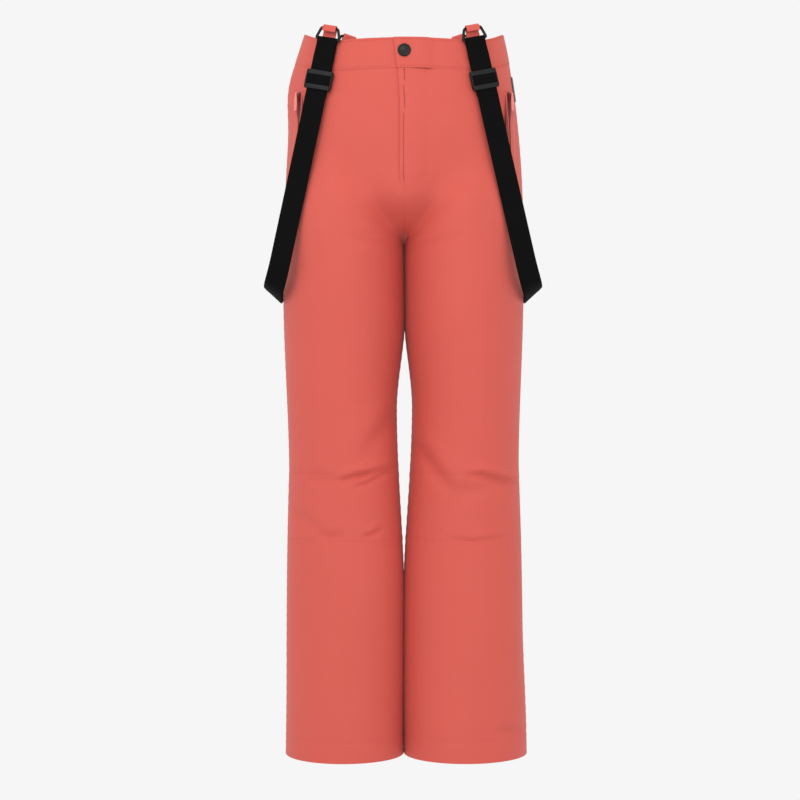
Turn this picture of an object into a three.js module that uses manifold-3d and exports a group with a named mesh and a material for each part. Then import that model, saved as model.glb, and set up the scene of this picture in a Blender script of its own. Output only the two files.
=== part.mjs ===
// Junior ski pants with braces: an insulated shell with a lining, a lapped zip fly, two zipped hand
// pockets, shaped knees, snow gaiters inside the hems, and two webbing braces that hang at the sides.
// Millimetres, +Z up. The wearer faces -Y, so the wearer's right leg is at -X. The shape is worked out
// with the hem at height 0, and the finished group is then lowered so that its origin is the middle of
// the waist opening.

import * as THREE from 'three';
import Module from 'manifold-3d';
import { mergeVertices } from 'three/addons/utils/BufferGeometryUtils.js';

const wasm = await Module();
wasm.setup();

// ---- Driving sizes: heights above the hem -------------------------------------------------------
const KNEE_HEIGHT = 290;
const CROTCH_HEIGHT = 598;
const HIP_HEIGHT = 690;
const RIM_FRONT_HEIGHT = 820;
const RIM_SIDE_HEIGHT = 838;
const RIM_BACK_HEIGHT = 850;
const BAND_HEIGHT = 35;

// ---- Driving sizes: widths and depths -----------------------------------------------------------
const WAIST_HALF_WIDTH = 116;
const THIGH_HALF_WIDTH = 140.4;
const KNEE_HALF_WIDTH = 132.4;
const HEM_HALF_WIDTH = 138.8;
const WAIST_HALF_DEPTH = 84;
const HIP_HALF_DEPTH = 98;
const KNEE_HALF_DEPTH = 70;
const HEM_HALF_DEPTH = 71;
const SEAT_SHIFT = 6; // the seat is fuller than the belly by twice this
const LEG_GAP = 8.8; // half the daylight between the legs, halfway down the thigh
const SEAM_GAP = 0.4; // between two panels that are sewn edge to edge

// ---- Driving sizes: cloth ------------------------------------------------------------------------
const SHELL = 2.2; // insulated shell
const LAYER_GAP = 0.4;
const POCKET_CLOTH = 1.6;
const LINING_CLOTH = 0.8;
const LINING_DEPTH = SHELL + LAYER_GAP + POCKET_CLOTH + 1.6; // outer face of the lining

// ---- Driving sizes: knees, hems and gaiters --------------------------------------------------------
const KNEE_PANEL_HALF = 38;
const KNEE_GUSSET = 40; // how much further the knee panel reaches behind the knee
const HEM_FACING_HEIGHT = 30;
const HEM_OVERLAP = 15; // the lining's end inside the hem facing
const GAITER_TOP = 140;
const GAITER_BOTTOM = 18;
const GAITER_TAPER = 12; // how far the gaiter's bottom lies inside the lining
const ELASTIC_HEIGHT = 10;

// ---- Driving sizes: fly ----------------------------------------------------------------------------
const FLY_EDGE = 13; // the flap laps past the middle by this much
const FLY_ROOT = 35; // the flap's sewn edge, on the wearer's left
const FLY_SLOT = 7; // half the width of the opening that the zip closes
const UNDERLAP = 20; // the band's end under the snap
const FLAP_LIFT = 1.3; // room under the flap for the slider
const FLY_ZIP_DEPTH = SHELL + 1.2; // the zip lies flat behind the curved front
const FLAP_CLOTH = 1.8;
const SNAP_DIAMETER = 15;
const SNAP_HEIGHT = 3.2;
const STUD_DIAMETER = 8;

// ---- Driving sizes: zips -----------------------------------------------------------------------------
const TAPE_WIDTH = 11;
const TAPE = 0.8;
const COIL_WIDTH = 1.5;
const COIL = 1.5;
const FLY_ZIP_LENGTH = 108;
const POCKET_ZIP_LENGTH = 128;
const POCKET_ZIP_TOP = 768;
const POCKET_COLUMN = 6; // the cloth column that the pocket zip follows
const SLIDER = { width: 8, height: 10, depth: 2.2 };
const PULLER = { width: 6, length: 22, depth: 1.2 };
const PULLER_SWING = 0.7; // room for the puller's end to turn over the slider

// ---- Driving sizes: braces -----------------------------------------------------------------------------
const WEBBING_WIDTH = 25;
const WEBBING = 1.8;
const RING = { width: 31, length: 13, bar: 2.6 };
const TAB = { width: 15, cloth: 1.4, tuck: 4, reach: 20 };
const FRONT_TAB_X = { right: 84, left: 77 };
const BACK_TAB_X = 66;
const FRONT_RISE = 12; // ring bar above the rim
const BACK_RISE = 4;
const BRACE_TURN = 16; // degrees that the front run faces outwards
const ROLL_MIDDLE = { x: 153, y: 0, z: 534 }; // where the brace turns from front to back
const ROLL_TILT = 43; // degrees that the brace leans outwards there
const ROLL_REACH = 40;
const FRONT_RUN_END = { x: 139, z: 575 };
const BACK_RUN_END = { x: 147, z: 575 };
const ADJUSTER = { width: 32, height: 22, wall: 1.7, drop: 60 };
const CLEAR = 0.4; // between pieces that touch or run on each other

// ---- The cloth's grid ------------------------------------------------------------------------------------
const COLUMNS = 16; // round one leg, or round half the hips
const SIDES = { right: -1, left: 1 };
const clamp01 = (t) => Math.min(1, Math.max(0, t));
const mix = (a, b, t) => a + (b - a) * t;
const smooth = (t) => clamp01(t) ** 2 * (3 - 2 * clamp01(t));
const between = (z, low, high) => smooth((z - low) / (high - low));

// Half the outer width at a height: a gentle waist, a full thigh, a slimmer knee and a wider hem.
const THIGH_HEIGHT = CROTCH_HEIGHT - 38;
const SLIM_HEIGHT = KNEE_HEIGHT + 40;
function halfWidth(z) {
  if (z > THIGH_HEIGHT) {
    const up = clamp01((z - THIGH_HEIGHT) / (RIM_SIDE_HEIGHT - THIGH_HEIGHT));
    return mix(THIGH_HALF_WIDTH, WAIST_HALF_WIDTH, up ** 2.7);
  }
  if (z > SLIM_HEIGHT) return mix(KNEE_HALF_WIDTH, THIGH_HALF_WIDTH, between(z, SLIM_HEIGHT, THIGH_HEIGHT));
  return mix(HEM_HALF_WIDTH, KNEE_HALF_WIDTH, (z / SLIM_HEIGHT) ** 2);
}

function halfDepth(z) {
  if (z > HIP_HEIGHT) return mix(HIP_HALF_DEPTH, WAIST_HALF_DEPTH, between(z, HIP_HEIGHT, RIM_SIDE_HEIGHT));
  if (z > KNEE_HEIGHT) return mix(KNEE_HALF_DEPTH, HIP_HALF_DEPTH, between(z, KNEE_HEIGHT, HIP_HEIGHT));
  return mix(HEM_HALF_DEPTH, KNEE_HALF_DEPTH, between(z, 0, KNEE_HEIGHT));
}

const seatShift = (z) => SEAT_SHIFT * between(z, KNEE_HEIGHT, HIP_HEIGHT) * (1 - between(z, HIP_HEIGHT, RIM_SIDE_HEIGHT));

// Half the gap between the legs: they touch at the crotch and again below the knee.
const GAP_HEIGHT = mix(KNEE_HEIGHT, CROTCH_HEIGHT, 0.36);
function legGap(z) {
  const open = z > GAP_HEIGHT ? 1 - between(z, GAP_HEIGHT, CROTCH_HEIGHT - 13) : between(z, KNEE_HEIGHT - 75, GAP_HEIGHT);
  return mix(SEAM_GAP, LEG_GAP, open);
}

const rim = (u) => u < 0.5
  ? mix(RIM_FRONT_HEIGHT, RIM_SIDE_HEIGHT, between(u, 0.2, 0.5))
  : mix(RIM_SIDE_HEIGHT, RIM_BACK_HEIGHT, between(u, 0.5, 1));
const bandBottom = (u) => rim(u) - BAND_HEIGHT;

// A point of the left half's outer surface. u runs 0 to 1 from the middle of the front, or the inseam,
// round the side at 0.5 to the middle of the back, or the inseam again. Above the crotch the leg's
// ellipse turns into half of the hips' ellipse: at once at the middle seam, slowly at the thigh.
const CROTCH_CURVE = 75;
const HIP_CURVE = 130;
function surface(u, z) {
  const width = halfWidth(z);
  const depth = halfDepth(z);
  const gap = legGap(z);
  const middle = seatShift(z);
  const leg = [(width + gap) / 2 - ((width - gap) / 2) * Math.cos(2 * Math.PI * u), -depth * Math.sin(2 * Math.PI * u)];
  const hips = [gap + (width - gap) * Math.sin(Math.PI * u), -depth * Math.cos(Math.PI * u)];
  const above = Math.max(0, z - CROTCH_HEIGHT);
  const atSeam = Math.sqrt(1 - (1 - clamp01(above / CROTCH_CURVE)) ** 2);
  const weight = mix(smooth(above / HIP_CURVE), atSeam, Math.abs(Math.cos(Math.PI * u)) ** 6);
  return new THREE.Vector3(mix(leg[0], hips[0], weight), middle + mix(leg[1], hips[1], weight), z);
}

// Past the middle the cloth goes on as the other half's mirror image, or round the leg.
function wrapped(u, z) {
  const over = u < 0 || u > 1;
  if (!over) return surface(u, z);
  if (z <= CROTCH_HEIGHT) return surface(u < 0 ? u + 1 : u - 1, z);
  const p = surface(u < 0 ? -u : 2 - u, z);
  p.x = -p.x;
  return p;
}

function outward(u, z) {
  const step = 0.004;
  const rise = 0.5;
  const around = wrapped(u + step, z).sub(wrapped(u - step, z));
  const low = z <= CROTCH_HEIGHT ? -rise : Math.min(rise, (z - CROTCH_HEIGHT) / 2);
  const up = z <= CROTCH_HEIGHT
    ? surface(clamp01(u), z).sub(surface(clamp01(u), z + low))
    : wrapped(u, z + rise).sub(wrapped(u, z - low));
  return around.cross(up).normalize();
}

const offsetPoint = (u, z, offset) => wrapped(u, z).addScaledVector(outward(u, z), offset);

// ---- Building closed solids ------------------------------------------------------------------------------
function signedVolume(points, faces) {
  const a = new THREE.Vector3();
  let total = 0;
  for (const [i, j, k] of faces) total += a.copy(points[i]).cross(points[j]).dot(points[k]);
  return total;
}

function solid(points, faces) {
  const order = signedVolume(points, faces) < 0 ? faces.map(([i, j, k]) => [i, k, j]) : faces;
  const geometry = new THREE.BufferGeometry();
  geometry.setAttribute('position', new THREE.Float32BufferAttribute(points.flatMap((p) => p.toArray()), 3));
  geometry.setIndex(order.flat());
  geometry.computeVertexNormals();
  return geometry;
}

// A slab from two grids of points, the same number of rows and columns each. A round slab's last column
// joins its first.
function slab(outer, inner, round = false) {
  const rows = outer.length;
  const columns = outer[0].length;
  const points = [...outer.flat(), ...inner.flat()];
  const at = (layer, r, c) => layer * rows * columns + r * columns + (c % columns);
  const faces = [];
  const quad = (a, b, c, d) => faces.push([a, b, c], [a, c, d]);
  const last = round ? columns : columns - 1;
  for (let r = 0; r < rows - 1; r += 1) {
    for (let c = 0; c < last; c += 1) {
      quad(at(0, r, c), at(0, r, c + 1), at(0, r + 1, c + 1), at(0, r + 1, c));
      quad(at(1, r, c), at(1, r + 1, c), at(1, r + 1, c + 1), at(1, r, c + 1));
    }
    if (!round) {
      quad(at(0, r, 0), at(0, r + 1, 0), at(1, r + 1, 0), at(1, r, 0));
      quad(at(0, r, last), at(1, r, last), at(1, r + 1, last), at(0, r + 1, last));
    }
  }
  for (let c = 0; c < last; c += 1) {
    quad(at(0, 0, c), at(1, 0, c), at(1, 0, c + 1), at(0, 0, c + 1));
    quad(at(0, rows - 1, c), at(0, rows - 1, c + 1), at(1, rows - 1, c + 1), at(1, rows - 1, c));
  }
  return solid(points, faces);
}

// Cloth between two faces at given distances from the shell's outer surface. Each column is a place u
// and each row a function from u to a height.
function cloth(side, columns, rows, outerFace, innerFace, round = false) {
  const layer = (offset) => rows.map((row) => columns.map((u) => {
    const p = offsetPoint(u, row(Math.abs(u)), offset);
    p.x *= side;
    return p;
  }));
  return slab(layer(outerFace), layer(innerFace), round);
}

function toManifold(geometry) {
  const bare = geometry.clone();
  bare.deleteAttribute('normal');
  bare.deleteAttribute('uv');
  const merged = mergeVertices(bare, 1e-4);
  const vertProperties = Float32Array.from(merged.attributes.position.array);
  const triVerts = Uint32Array.from(merged.index.array);
  return new wasm.Manifold(new wasm.Mesh({ numProp: 3, vertProperties, triVerts }));
}

function cut(body, tool) {
  const mesh = toManifold(body).subtract(toManifold(tool)).getMesh();
  const geometry = new THREE.BufferGeometry();
  geometry.setAttribute('position', new THREE.BufferAttribute(Float32Array.from(mesh.vertProperties), 3));
  geometry.setIndex([...mesh.triVerts]);
  geometry.computeVertexNormals();
  return geometry;
}

// A local frame as a matrix: x across, y along, z out of the surface.
function frameAt(origin, across, up) {
  const y = up.clone().normalize();
  const x = across.clone().addScaledVector(y, -across.dot(y)).normalize();
  return new THREE.Matrix4().makeBasis(x, y, x.clone().cross(y)).setPosition(origin);
}

const box = (width, height, depth, x, y, z) => new THREE.BoxGeometry(width, height, depth).translate(x, y, z);

// ---- Materials ---------------------------------------------------------------------------------------------
const finish = (color, roughness, metalness = 0) => new THREE.MeshStandardMaterial({ color, roughness, metalness });
const coral = finish(0xe2645a, 0.85);
const liningCloth = finish(0xb9534c, 0.8);
const black = finish(0x151515, 0.8);
const snapMetal = finish(0x262a28, 0.4, 0.6);
const zipCloth = finish(0x8e2f30, 0.8);
const zipMetal = finish(0x3a3a3c, 0.4, 0.7);
const pink = finish(0xf06a78, 0.5);
const grey = finish(0x55585b, 0.8);

const model = new THREE.Group();
function add(name, geometry, material) {
  const mesh = new THREE.Mesh(geometry, material);
  mesh.name = name;
  model.add(mesh);
}

// ---- Rows and columns that the panels share ------------------------------------------------------------------
const level = (z) => () => z;
const moved = (row, by) => (u) => row(u) + by;
const HALF_SEAM = SEAM_GAP / 2;
const kneeEdge = (sign) => (u) => KNEE_HEIGHT + sign * (KNEE_PANEL_HALF + KNEE_GUSSET * Math.max(0, -Math.sin(2 * Math.PI * u)));
const kneeTop = kneeEdge(1);
const kneeBottom = kneeEdge(-1);
const TORSO_SHARES = [0.03, 0.1, 0.22, 0.37, 0.57, 0.78];
const torsoRow = (share) => (u) => mix(CROTCH_HEIGHT, bandBottom(u), share);
const torsoRows = TORSO_SHARES.map(torsoRow);
const thighRows = [0.42, 0.68, 0.88].map((t) => level(mix(KNEE_HEIGHT, CROTCH_HEIGHT, t)));
const shinRows = [level(KNEE_HEIGHT * 0.33), level(KNEE_HEIGHT * 0.62)];
const upperRows = [moved(kneeTop, HALF_SEAM), ...thighRows, level(CROTCH_HEIGHT), ...torsoRows, moved(bandBottom, -HALF_SEAM)];
const lowerRows = [level(0), level(HEM_FACING_HEIGHT), ...shinRows, moved(kneeBottom, -HALF_SEAM)];
const kneeRows = [moved(kneeBottom, HALF_SEAM), level(KNEE_HEIGHT), moved(kneeTop, -HALF_SEAM)];

const SEAM_STEP = HALF_SEAM / (2 * Math.PI * KNEE_HALF_DEPTH); // half a seam gap, as a share of the way round
function columns(from, to) {
  const list = [];
  for (let c = from; c <= to; c += 1) list.push(c / COLUMNS);
  list[0] += SEAM_STEP;
  list[list.length - 1] -= SEAM_STEP;
  return list;
}
const HALF = COLUMNS / 2;
const frontColumns = columns(0, HALF);
const backColumns = columns(HALF, COLUMNS);

// ---- Shell, lining and pocket bags -----------------------------------------------------------------------------
const middleStep = (distance) => distance / (Math.PI * THIGH_HALF_WIDTH); // distance from the middle, as u
const FLY_BOTTOM_ROW = 3; // the torso row where the fly's opening begins

// The front panel's middle edge steps back from the middle above the fly's bottom.
function frontPanel(side) {
  const opening = torsoRows.slice(FLY_BOTTOM_ROW);
  const stepped = (row) => opening.includes(row) || row === upperRows[upperRows.length - 1];
  const layer = (offset) => upperRows.map((row) => frontColumns.map((u, c) => {
    const place = c === 0 && stepped(row) ? middleStep(FLY_SLOT) : u;
    const p = offsetPoint(place, row(place), offset);
    p.x *= side;
    return p;
  }));
  return slab(layer(0), layer(-SHELL));
}

function shell(name, side) {
  add(`front_panel_${name}`, frontPanel(side), coral);
  add(`back_panel_${name}`, cloth(side, backColumns, upperRows, 0, -SHELL), coral);
  add(`knee_panel_front_${name}`, cloth(side, frontColumns, kneeRows, 0, -SHELL), coral);
  add(`knee_panel_back_${name}`, cloth(side, backColumns, kneeRows, 0, -SHELL), coral);
  add(`shin_panel_front_${name}`, cloth(side, frontColumns, lowerRows, 0, -SHELL), coral);
  add(`shin_panel_back_${name}`, cloth(side, backColumns, lowerRows, 0, -SHELL), coral);
}

function lining(name, side) {
  const around = columns(0, COLUMNS);
  const inner = -LINING_DEPTH - LINING_CLOTH;
  add(`lining_${name}`, cloth(side, around, upperRows, -LINING_DEPTH, inner), liningCloth);
  const shinLining = [level(HEM_FACING_HEIGHT - HEM_OVERLAP), level(GAITER_TOP), shinRows[1], lowerRows[lowerRows.length - 1]];
  add(`shin_lining_${name}`, cloth(side, around, shinLining, -LINING_DEPTH, inner), liningCloth);
}

function pocketBag(name, side) {
  const rows = torsoRows.slice(1, 6);
  const across = columns(HALF - 4, HALF);
  const face = -SHELL - LAYER_GAP;
  add(`pocket_bag_${name}`, cloth(side, across, rows, face, face - POCKET_CLOTH), liningCloth);
}

// ---- Hem facings and gaiters -------------------------------------------------------------------------------------
const ring = [...Array(COLUMNS).keys()].map((c) => c / COLUMNS);

function hem(name, side) {
  const face = -SHELL - LAYER_GAP;
  const facingRows = [level(0), level(HEM_FACING_HEIGHT)];
  add(`hem_facing_${name}`, cloth(side, ring, facingRows, face, LAYER_GAP - LINING_DEPTH, true), coral);
  const top = -LINING_DEPTH - LINING_CLOTH - LAYER_GAP;
  const bottom = top - GAITER_TAPER;
  const tube = (low, high, lowFace, highFace, thick) => {
    const points = (z, offset) => ring.map((u) => {
      const p = offsetPoint(u, z, offset);
      p.x *= side;
      return p;
    });
    return slab([points(low, lowFace), points(high, highFace)], [points(low, lowFace - thick), points(high, highFace - thick)], true);
  };
  const elasticTop = GAITER_BOTTOM + ELASTIC_HEIGHT;
  add(`gaiter_${name}`, tube(elasticTop + CLEAR, GAITER_TOP - CLEAR, bottom, top, LINING_CLOTH), black);
  add(`gaiter_elastic_${name}`, tube(GAITER_BOTTOM, elasticTop, bottom, bottom, 2), black);
  const hookAt = offsetPoint(0.25, GAITER_BOTTOM - CLEAR, bottom - 1);
  const hook = box(8, 1.6, 14, side * hookAt.x, hookAt.y, hookAt.z - 7);
  add(`gaiter_hook_${name}`, hook, zipMetal);
}

// ---- Waistband -----------------------------------------------------------------------------------------------------
const bandRows = [moved(bandBottom, HALF_SEAM), rim];
const underlapEnd = -middleStep(UNDERLAP);
const rootStep = middleStep(FLY_ROOT);
const frontBandColumns = frontColumns.slice(1);

function waistband() {
  const right = [underlapEnd, 0, ...frontBandColumns];
  const left = [rootStep + SEAM_STEP, ...frontBandColumns.slice(1)];
  add('waistband_front_right', cloth(SIDES.right, right, bandRows, 0, -SHELL), coral);
  add('waistband_front_left', cloth(SIDES.left, left, bandRows, 0, -SHELL), coral);
  const back = [...columns(HALF, COLUMNS)];
  back[back.length - 1] = 1;
  const mirrored = back.slice(0, -1).map((u) => 2 - u).reverse();
  const layer = (rows, places, offset) => rows.map((row) => places.map((u) => offsetPoint(u, row(u > 1 ? 2 - u : u), offset)));
  const all = [...back, ...mirrored];
  add('waistband_back', slab(layer(bandRows, all, 0), layer(bandRows, all, -SHELL)), coral);
  const elasticRows = [moved(bandBottom, 5), moved(rim, -5)];
  const face = -SHELL - LAYER_GAP;
  const middle = all.filter((u) => u > 0.55 && u < 1.45);
  add('waistband_elastic', slab(layer(elasticRows, middle, face), layer(elasticRows, middle, face - 1.5)), black);
}

// ---- Fly -----------------------------------------------------------------------------------------------------------------
const flyTop = surface(0, bandBottom(0) - 2);
const flyBottom = surface(0, bandBottom(0) - 2 - FLY_ZIP_LENGTH);
flyTop.x = 0;
flyBottom.x = 0;
const flyLine = flyTop.clone().sub(flyBottom).normalize();
const ACROSS = new THREE.Vector3(1, 0, 0);
const flyFrame = frameAt(flyBottom, ACROSS, flyLine);

function tapeProfile(side) {
  const shape = new THREE.Shape();
  const back = -FLY_ZIP_DEPTH - TAPE;
  const edge = CLEAR / 2;
  shape.moveTo(side * edge, back);
  shape.lineTo(side * (edge + TAPE_WIDTH), back);
  shape.lineTo(side * (edge + TAPE_WIDTH), back + TAPE);
  shape.lineTo(side * (edge + COIL_WIDTH), back + TAPE);
  shape.lineTo(side * (edge + COIL_WIDTH), back + COIL);
  shape.lineTo(side * edge, back + COIL);
  return shape;
}

// An outline in x and z, drawn out along y of a local frame.
function drawnOut(shape, length, frame, holes = []) {
  holes.forEach((hole) => shape.holes.push(hole));
  const geometry = new THREE.ExtrudeGeometry(shape, { depth: length, bevelEnabled: false });
  geometry.rotateX(Math.PI / 2).translate(0, length, 0);
  return geometry.applyMatrix4(frame);
}

function flyZip() {
  for (const [name, side] of Object.entries(SIDES)) {
    add(`fly_zip_tape_${name}`, drawnOut(tapeProfile(side), FLY_ZIP_LENGTH, flyFrame), zipCloth);
  }
  const coilFace = -FLY_ZIP_DEPTH - TAPE + COIL;
  const top = FLY_ZIP_LENGTH - SLIDER.height / 2;
  const slider = box(SLIDER.width, SLIDER.height, SLIDER.depth, 0, top, coilFace + CLEAR + SLIDER.depth / 2);
  add('fly_slider', slider.applyMatrix4(flyFrame), zipMetal);
  const hang = top - SLIDER.height / 2 - CLEAR - PULLER.length / 2;
  const puller = box(PULLER.width, PULLER.length, PULLER.depth, 0, hang, coilFace + CLEAR + PULLER.depth / 2 + 0.2);
  add('fly_puller', puller.applyMatrix4(flyFrame), pink);
  const shieldRows = [...torsoRows.slice(FLY_BOTTOM_ROW), moved(bandBottom, -2)];
  const face = -LINING_DEPTH - LINING_CLOTH - LAYER_GAP;
  const edge = 1 / COLUMNS;
  const shieldColumns = [-edge, 0, edge];
  add('fly_underlap', cloth(SIDES.right, shieldColumns, shieldRows, face, face - 1.2), coral);
}

function flyFlap() {
  const marks = [-middleStep(FLY_EDGE), -middleStep(FLY_SLOT), 0, middleStep(FLY_SLOT), 1 / COLUMNS, rootStep];
  const rows = [...torsoRows.slice(2), moved(bandBottom, -HALF_SEAM)];
  add('fly_flap', cloth(SIDES.left, marks, rows, FLAP_LIFT + FLAP_CLOTH, FLAP_LIFT), coral);
  const tabMarks = [-middleStep(FLY_EDGE + 2), 0, 1 / COLUMNS, rootStep];
  const lift = CLEAR + 0.3;
  const tab = cloth(SIDES.left, tabMarks, bandRows, lift + FLAP_CLOTH, lift);
  const snapHeight = mix(bandBottom(0), rim(0), 0.56);
  const seat = surface(0, snapHeight);
  seat.x = 0;
  const out = outward(0, snapHeight);
  const turn = new THREE.Quaternion().setFromUnitVectors(new THREE.Vector3(0, 1, 0), out);
  const disc = (diameter, height, from) => new THREE.CylinderGeometry(diameter / 2, diameter / 2, height, 24)
    .translate(0, from + height / 2, 0).applyQuaternion(turn).translate(seat.x, seat.y, seat.z);
  const face = lift + FLAP_CLOTH;
  add('waistband_tab', cut(tab, disc(STUD_DIAMETER + 1, face + 4, -1)), coral);
  add('snap_stud', disc(STUD_DIAMETER, face - CLEAR, CLEAR), snapMetal);
  const radius = SNAP_DIAMETER / 2;
  const dome = [[0, 0], [radius - 0.4, 0], [radius, 0.5], [radius - 0.6, 1.9], [radius * 0.55, SNAP_HEIGHT], [0, SNAP_HEIGHT]];
  const cap = new THREE.LatheGeometry(dome.map(([r, y]) => new THREE.Vector2(r, y)), 28);
  cap.translate(0, face + CLEAR, 0).applyQuaternion(turn).translate(seat.x, seat.y, seat.z);
  add('snap_cap', cap, snapMetal);
}

// ---- Pocket zips --------------------------------------------------------------------------------------------------------------
// The zip is straight, and stands just clear of the cloth where the cloth bulges most under it.
function pocketFrame(side) {
  const u = POCKET_COLUMN / COLUMNS;
  const top = surface(u, POCKET_ZIP_TOP);
  const low = surface(u, POCKET_ZIP_TOP - POCKET_ZIP_LENGTH);
  const out = outward(u, POCKET_ZIP_TOP - POCKET_ZIP_LENGTH / 2);
  const up = top.clone().sub(low).normalize();
  const across = up.clone().cross(out);
  const m = frameAt(low, across, up);
  const face = new THREE.Vector3().setFromMatrixColumn(m, 2);
  let bulge = 0;
  for (let t = 0; t <= 1; t += 0.05) {
    for (const shift of [-1, 0, 1]) {
      const p = surface(u + shift * middleStep(TAPE_WIDTH * 0.75), low.z + t * (top.z - low.z));
      bulge = Math.max(bulge, p.sub(low).dot(face));
    }
  }
  m.setPosition(low.addScaledVector(face, bulge + CLEAR));
  if (side < 0) m.premultiply(new THREE.Matrix4().makeScale(-1, 1, 1));
  return m;
}

function faceOut(geometry, frame) {
  const placed = geometry.applyMatrix4(frame);
  if (frame.determinant() > 0) return placed;
  const bare = mergeVertices(withoutShading(placed), 1e-4);
  const index = [...bare.index.array];
  for (let i = 0; i < index.length; i += 3) [index[i + 1], index[i + 2]] = [index[i + 2], index[i + 1]];
  bare.setIndex(index);
  bare.computeVertexNormals();
  return bare;
}

function withoutShading(geometry) {
  geometry.deleteAttribute('normal');
  geometry.deleteAttribute('uv');
  return geometry;
}

function pocketZip(name, side) {
  const frame = pocketFrame(side);
  const half = TAPE_WIDTH * 0.75;
  const outline = [[-half, 0], [half, 0], [half, TAPE], [COIL_WIDTH, TAPE], [COIL_WIDTH, COIL], [-COIL_WIDTH, COIL], [-COIL_WIDTH, TAPE], [-half, TAPE]];
  const shape = new THREE.Shape(outline.map(([x, z]) => new THREE.Vector2(x, z)));
  const flat = new THREE.Matrix4();
  add(`pocket_zip_${name}`, faceOut(drawnOut(shape, POCKET_ZIP_LENGTH, flat), frame), zipCloth);
  const sliderFace = COIL + CLEAR;
  const sliderAt = POCKET_ZIP_LENGTH - SLIDER.height / 2 - 1;
  const slider = box(SLIDER.width, SLIDER.height, SLIDER.depth, 0, sliderAt, sliderFace + SLIDER.depth / 2);
  add(`pocket_slider_${name}`, faceOut(slider, frame), zipMetal);
  const pullerAt = sliderAt + SLIDER.height / 2 - PULLER.length / 2;
  const pullerFace = sliderFace + SLIDER.depth + PULLER_SWING;
  const puller = box(PULLER.width, PULLER.length, PULLER.depth, 0, pullerAt, pullerFace + PULLER.depth / 2);
  add(`pocket_puller_${name}`, faceOut(puller, frame), pink);
}

// ---- Braces ------------------------------------------------------------------------------------------------------------------------
// How far out the shell reaches at a height within a width, measured along a direction.
function reachAt(z, x, width, out) {
  let reach = -Infinity;
  const places = out.y < 0 ? [0.03, 0.5] : [0.5, 0.97];
  for (let u = places[0]; u <= places[1]; u += 0.005) {
    const p = surface(u, z);
    if (Math.abs(p.x - x) <= width / 2) reach = Math.max(reach, p.dot(out));
  }
  return reach;
}

const pointAt = (x, z, stand, out) => new THREE.Vector3(x, (stand - x * out.x) / out.y, z);

// One straight run of a brace, from the ring's bar at the rim to where the brace starts to turn. It hangs
// from its tab, which lies on the band, and just clears the shell all the way down.
function straightRun(tabX, rise, place, endAt, out) {
  const behindTab = (RING.bar / 2) * Math.SQRT2 + TAB.cloth + CLEAR;
  const behindAdjuster = WEBBING / 2 + CLEAR + ADJUSTER.wall + CLEAR / 2;
  const barHeight = rim(place) + rise;
  const stand = reachAt(rim(place) - 2, tabX, TAB.width, out) + behindTab;
  let endStand = stand;
  for (let z = rim(place) - 2; z > endAt.z; z -= 4) {
    const share = (barHeight - z) / (barHeight - endAt.z);
    const x = mix(tabX, endAt.x, share);
    const tabHere = z > barHeight - rise - TAB.reach;
    const reach = tabHere ? reachAt(z, x, TAB.width, out) + behindTab : reachAt(z, x, ADJUSTER.width, out) + behindAdjuster;
    if (Number.isFinite(reach)) endStand = Math.max(endStand, stand + (reach - stand) / share);
  }
  const top = pointAt(tabX, barHeight, stand, out);
  const end = pointAt(endAt.x, endAt.z, endStand, out);
  return { top, end, out, down: end.clone().sub(top).normalize() };
}

function braceLayout(tabX) {
  const turn = THREE.MathUtils.degToRad(BRACE_TURN);
  const frontOut = new THREE.Vector3(Math.sin(turn), -Math.cos(turn), 0);
  const backOut = new THREE.Vector3(Math.sin(turn), Math.cos(turn), 0);
  const front = straightRun(tabX, FRONT_RISE, 0.25, FRONT_RUN_END, frontOut);
  const back = straightRun(BACK_TAB_X, BACK_RISE, 0.8, BACK_RUN_END, backOut);
  return { front, back };
}

// Across a run's width, pointing away from the middle, square to the run.
function acrossRun(run) {
  const width = run.out.clone().cross(run.down);
  return width.x < 0 ? width.negate().normalize() : width.normalize();
}

const along = (point, direction, distance) => point.clone().addScaledVector(direction, distance);

// The webbing's middle line as [point, direction, across] from the front ring down, round and up again.
function webbingStations({ front, back }) {
  const toWebbing = RING.length + RING.bar / 2 + CLEAR;
  const up = back.down.clone().negate();
  const roll = new THREE.Vector3(ROLL_MIDDLE.x, ROLL_MIDDLE.y, ROLL_MIDDLE.z);
  const rearwards = new THREE.Vector3(0, 1, 0);
  const curve = (from, fromWay, to, toWay) => new THREE.CubicBezierCurve3(
    from, along(from, fromWay, ROLL_REACH), along(to, toWay, -ROLL_REACH), to);
  const first = curve(front.end, front.down, roll, rearwards);
  const second = curve(roll, rearwards, back.end, up);
  const tilt = THREE.MathUtils.degToRad(ROLL_TILT);
  const rollAcross = new THREE.Vector3(Math.cos(tilt), 0, Math.sin(tilt));
  const frontAcross = acrossRun(front);
  const backAcross = acrossRun(back);
  const steps = 7;
  const stations = [[along(front.top, front.down, toWebbing), front.down, frontAcross]];
  for (let i = 0; i < steps; i += 1) {
    const t = i / steps;
    stations.push([first.getPoint(t), first.getTangent(t), frontAcross.clone().lerp(rollAcross, smooth(t))]);
  }
  for (let i = 0; i <= steps; i += 1) {
    const t = i / steps;
    stations.push([second.getPoint(t), second.getTangent(t), rollAcross.clone().lerp(backAcross, smooth(t))]);
  }
  stations.push([along(back.top, back.down, toWebbing), up, backAcross]);
  return stations;
}

function webbing(layout) {
  const outer = [];
  const inner = [];
  for (const [centre, way, across] of webbingStations(layout)) {
    const width = across.clone().addScaledVector(way, -across.dot(way)).normalize();
    const out = way.clone().cross(width);
    const row = (lift) => [-0.5, 0.5].map((s) => centre.clone().addScaledVector(width, s * WEBBING_WIDTH).addScaledVector(out, lift));
    outer.push(row(WEBBING / 2));
    inner.push(row(-WEBBING / 2));
  }
  return slab(outer, inner);
}

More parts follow.
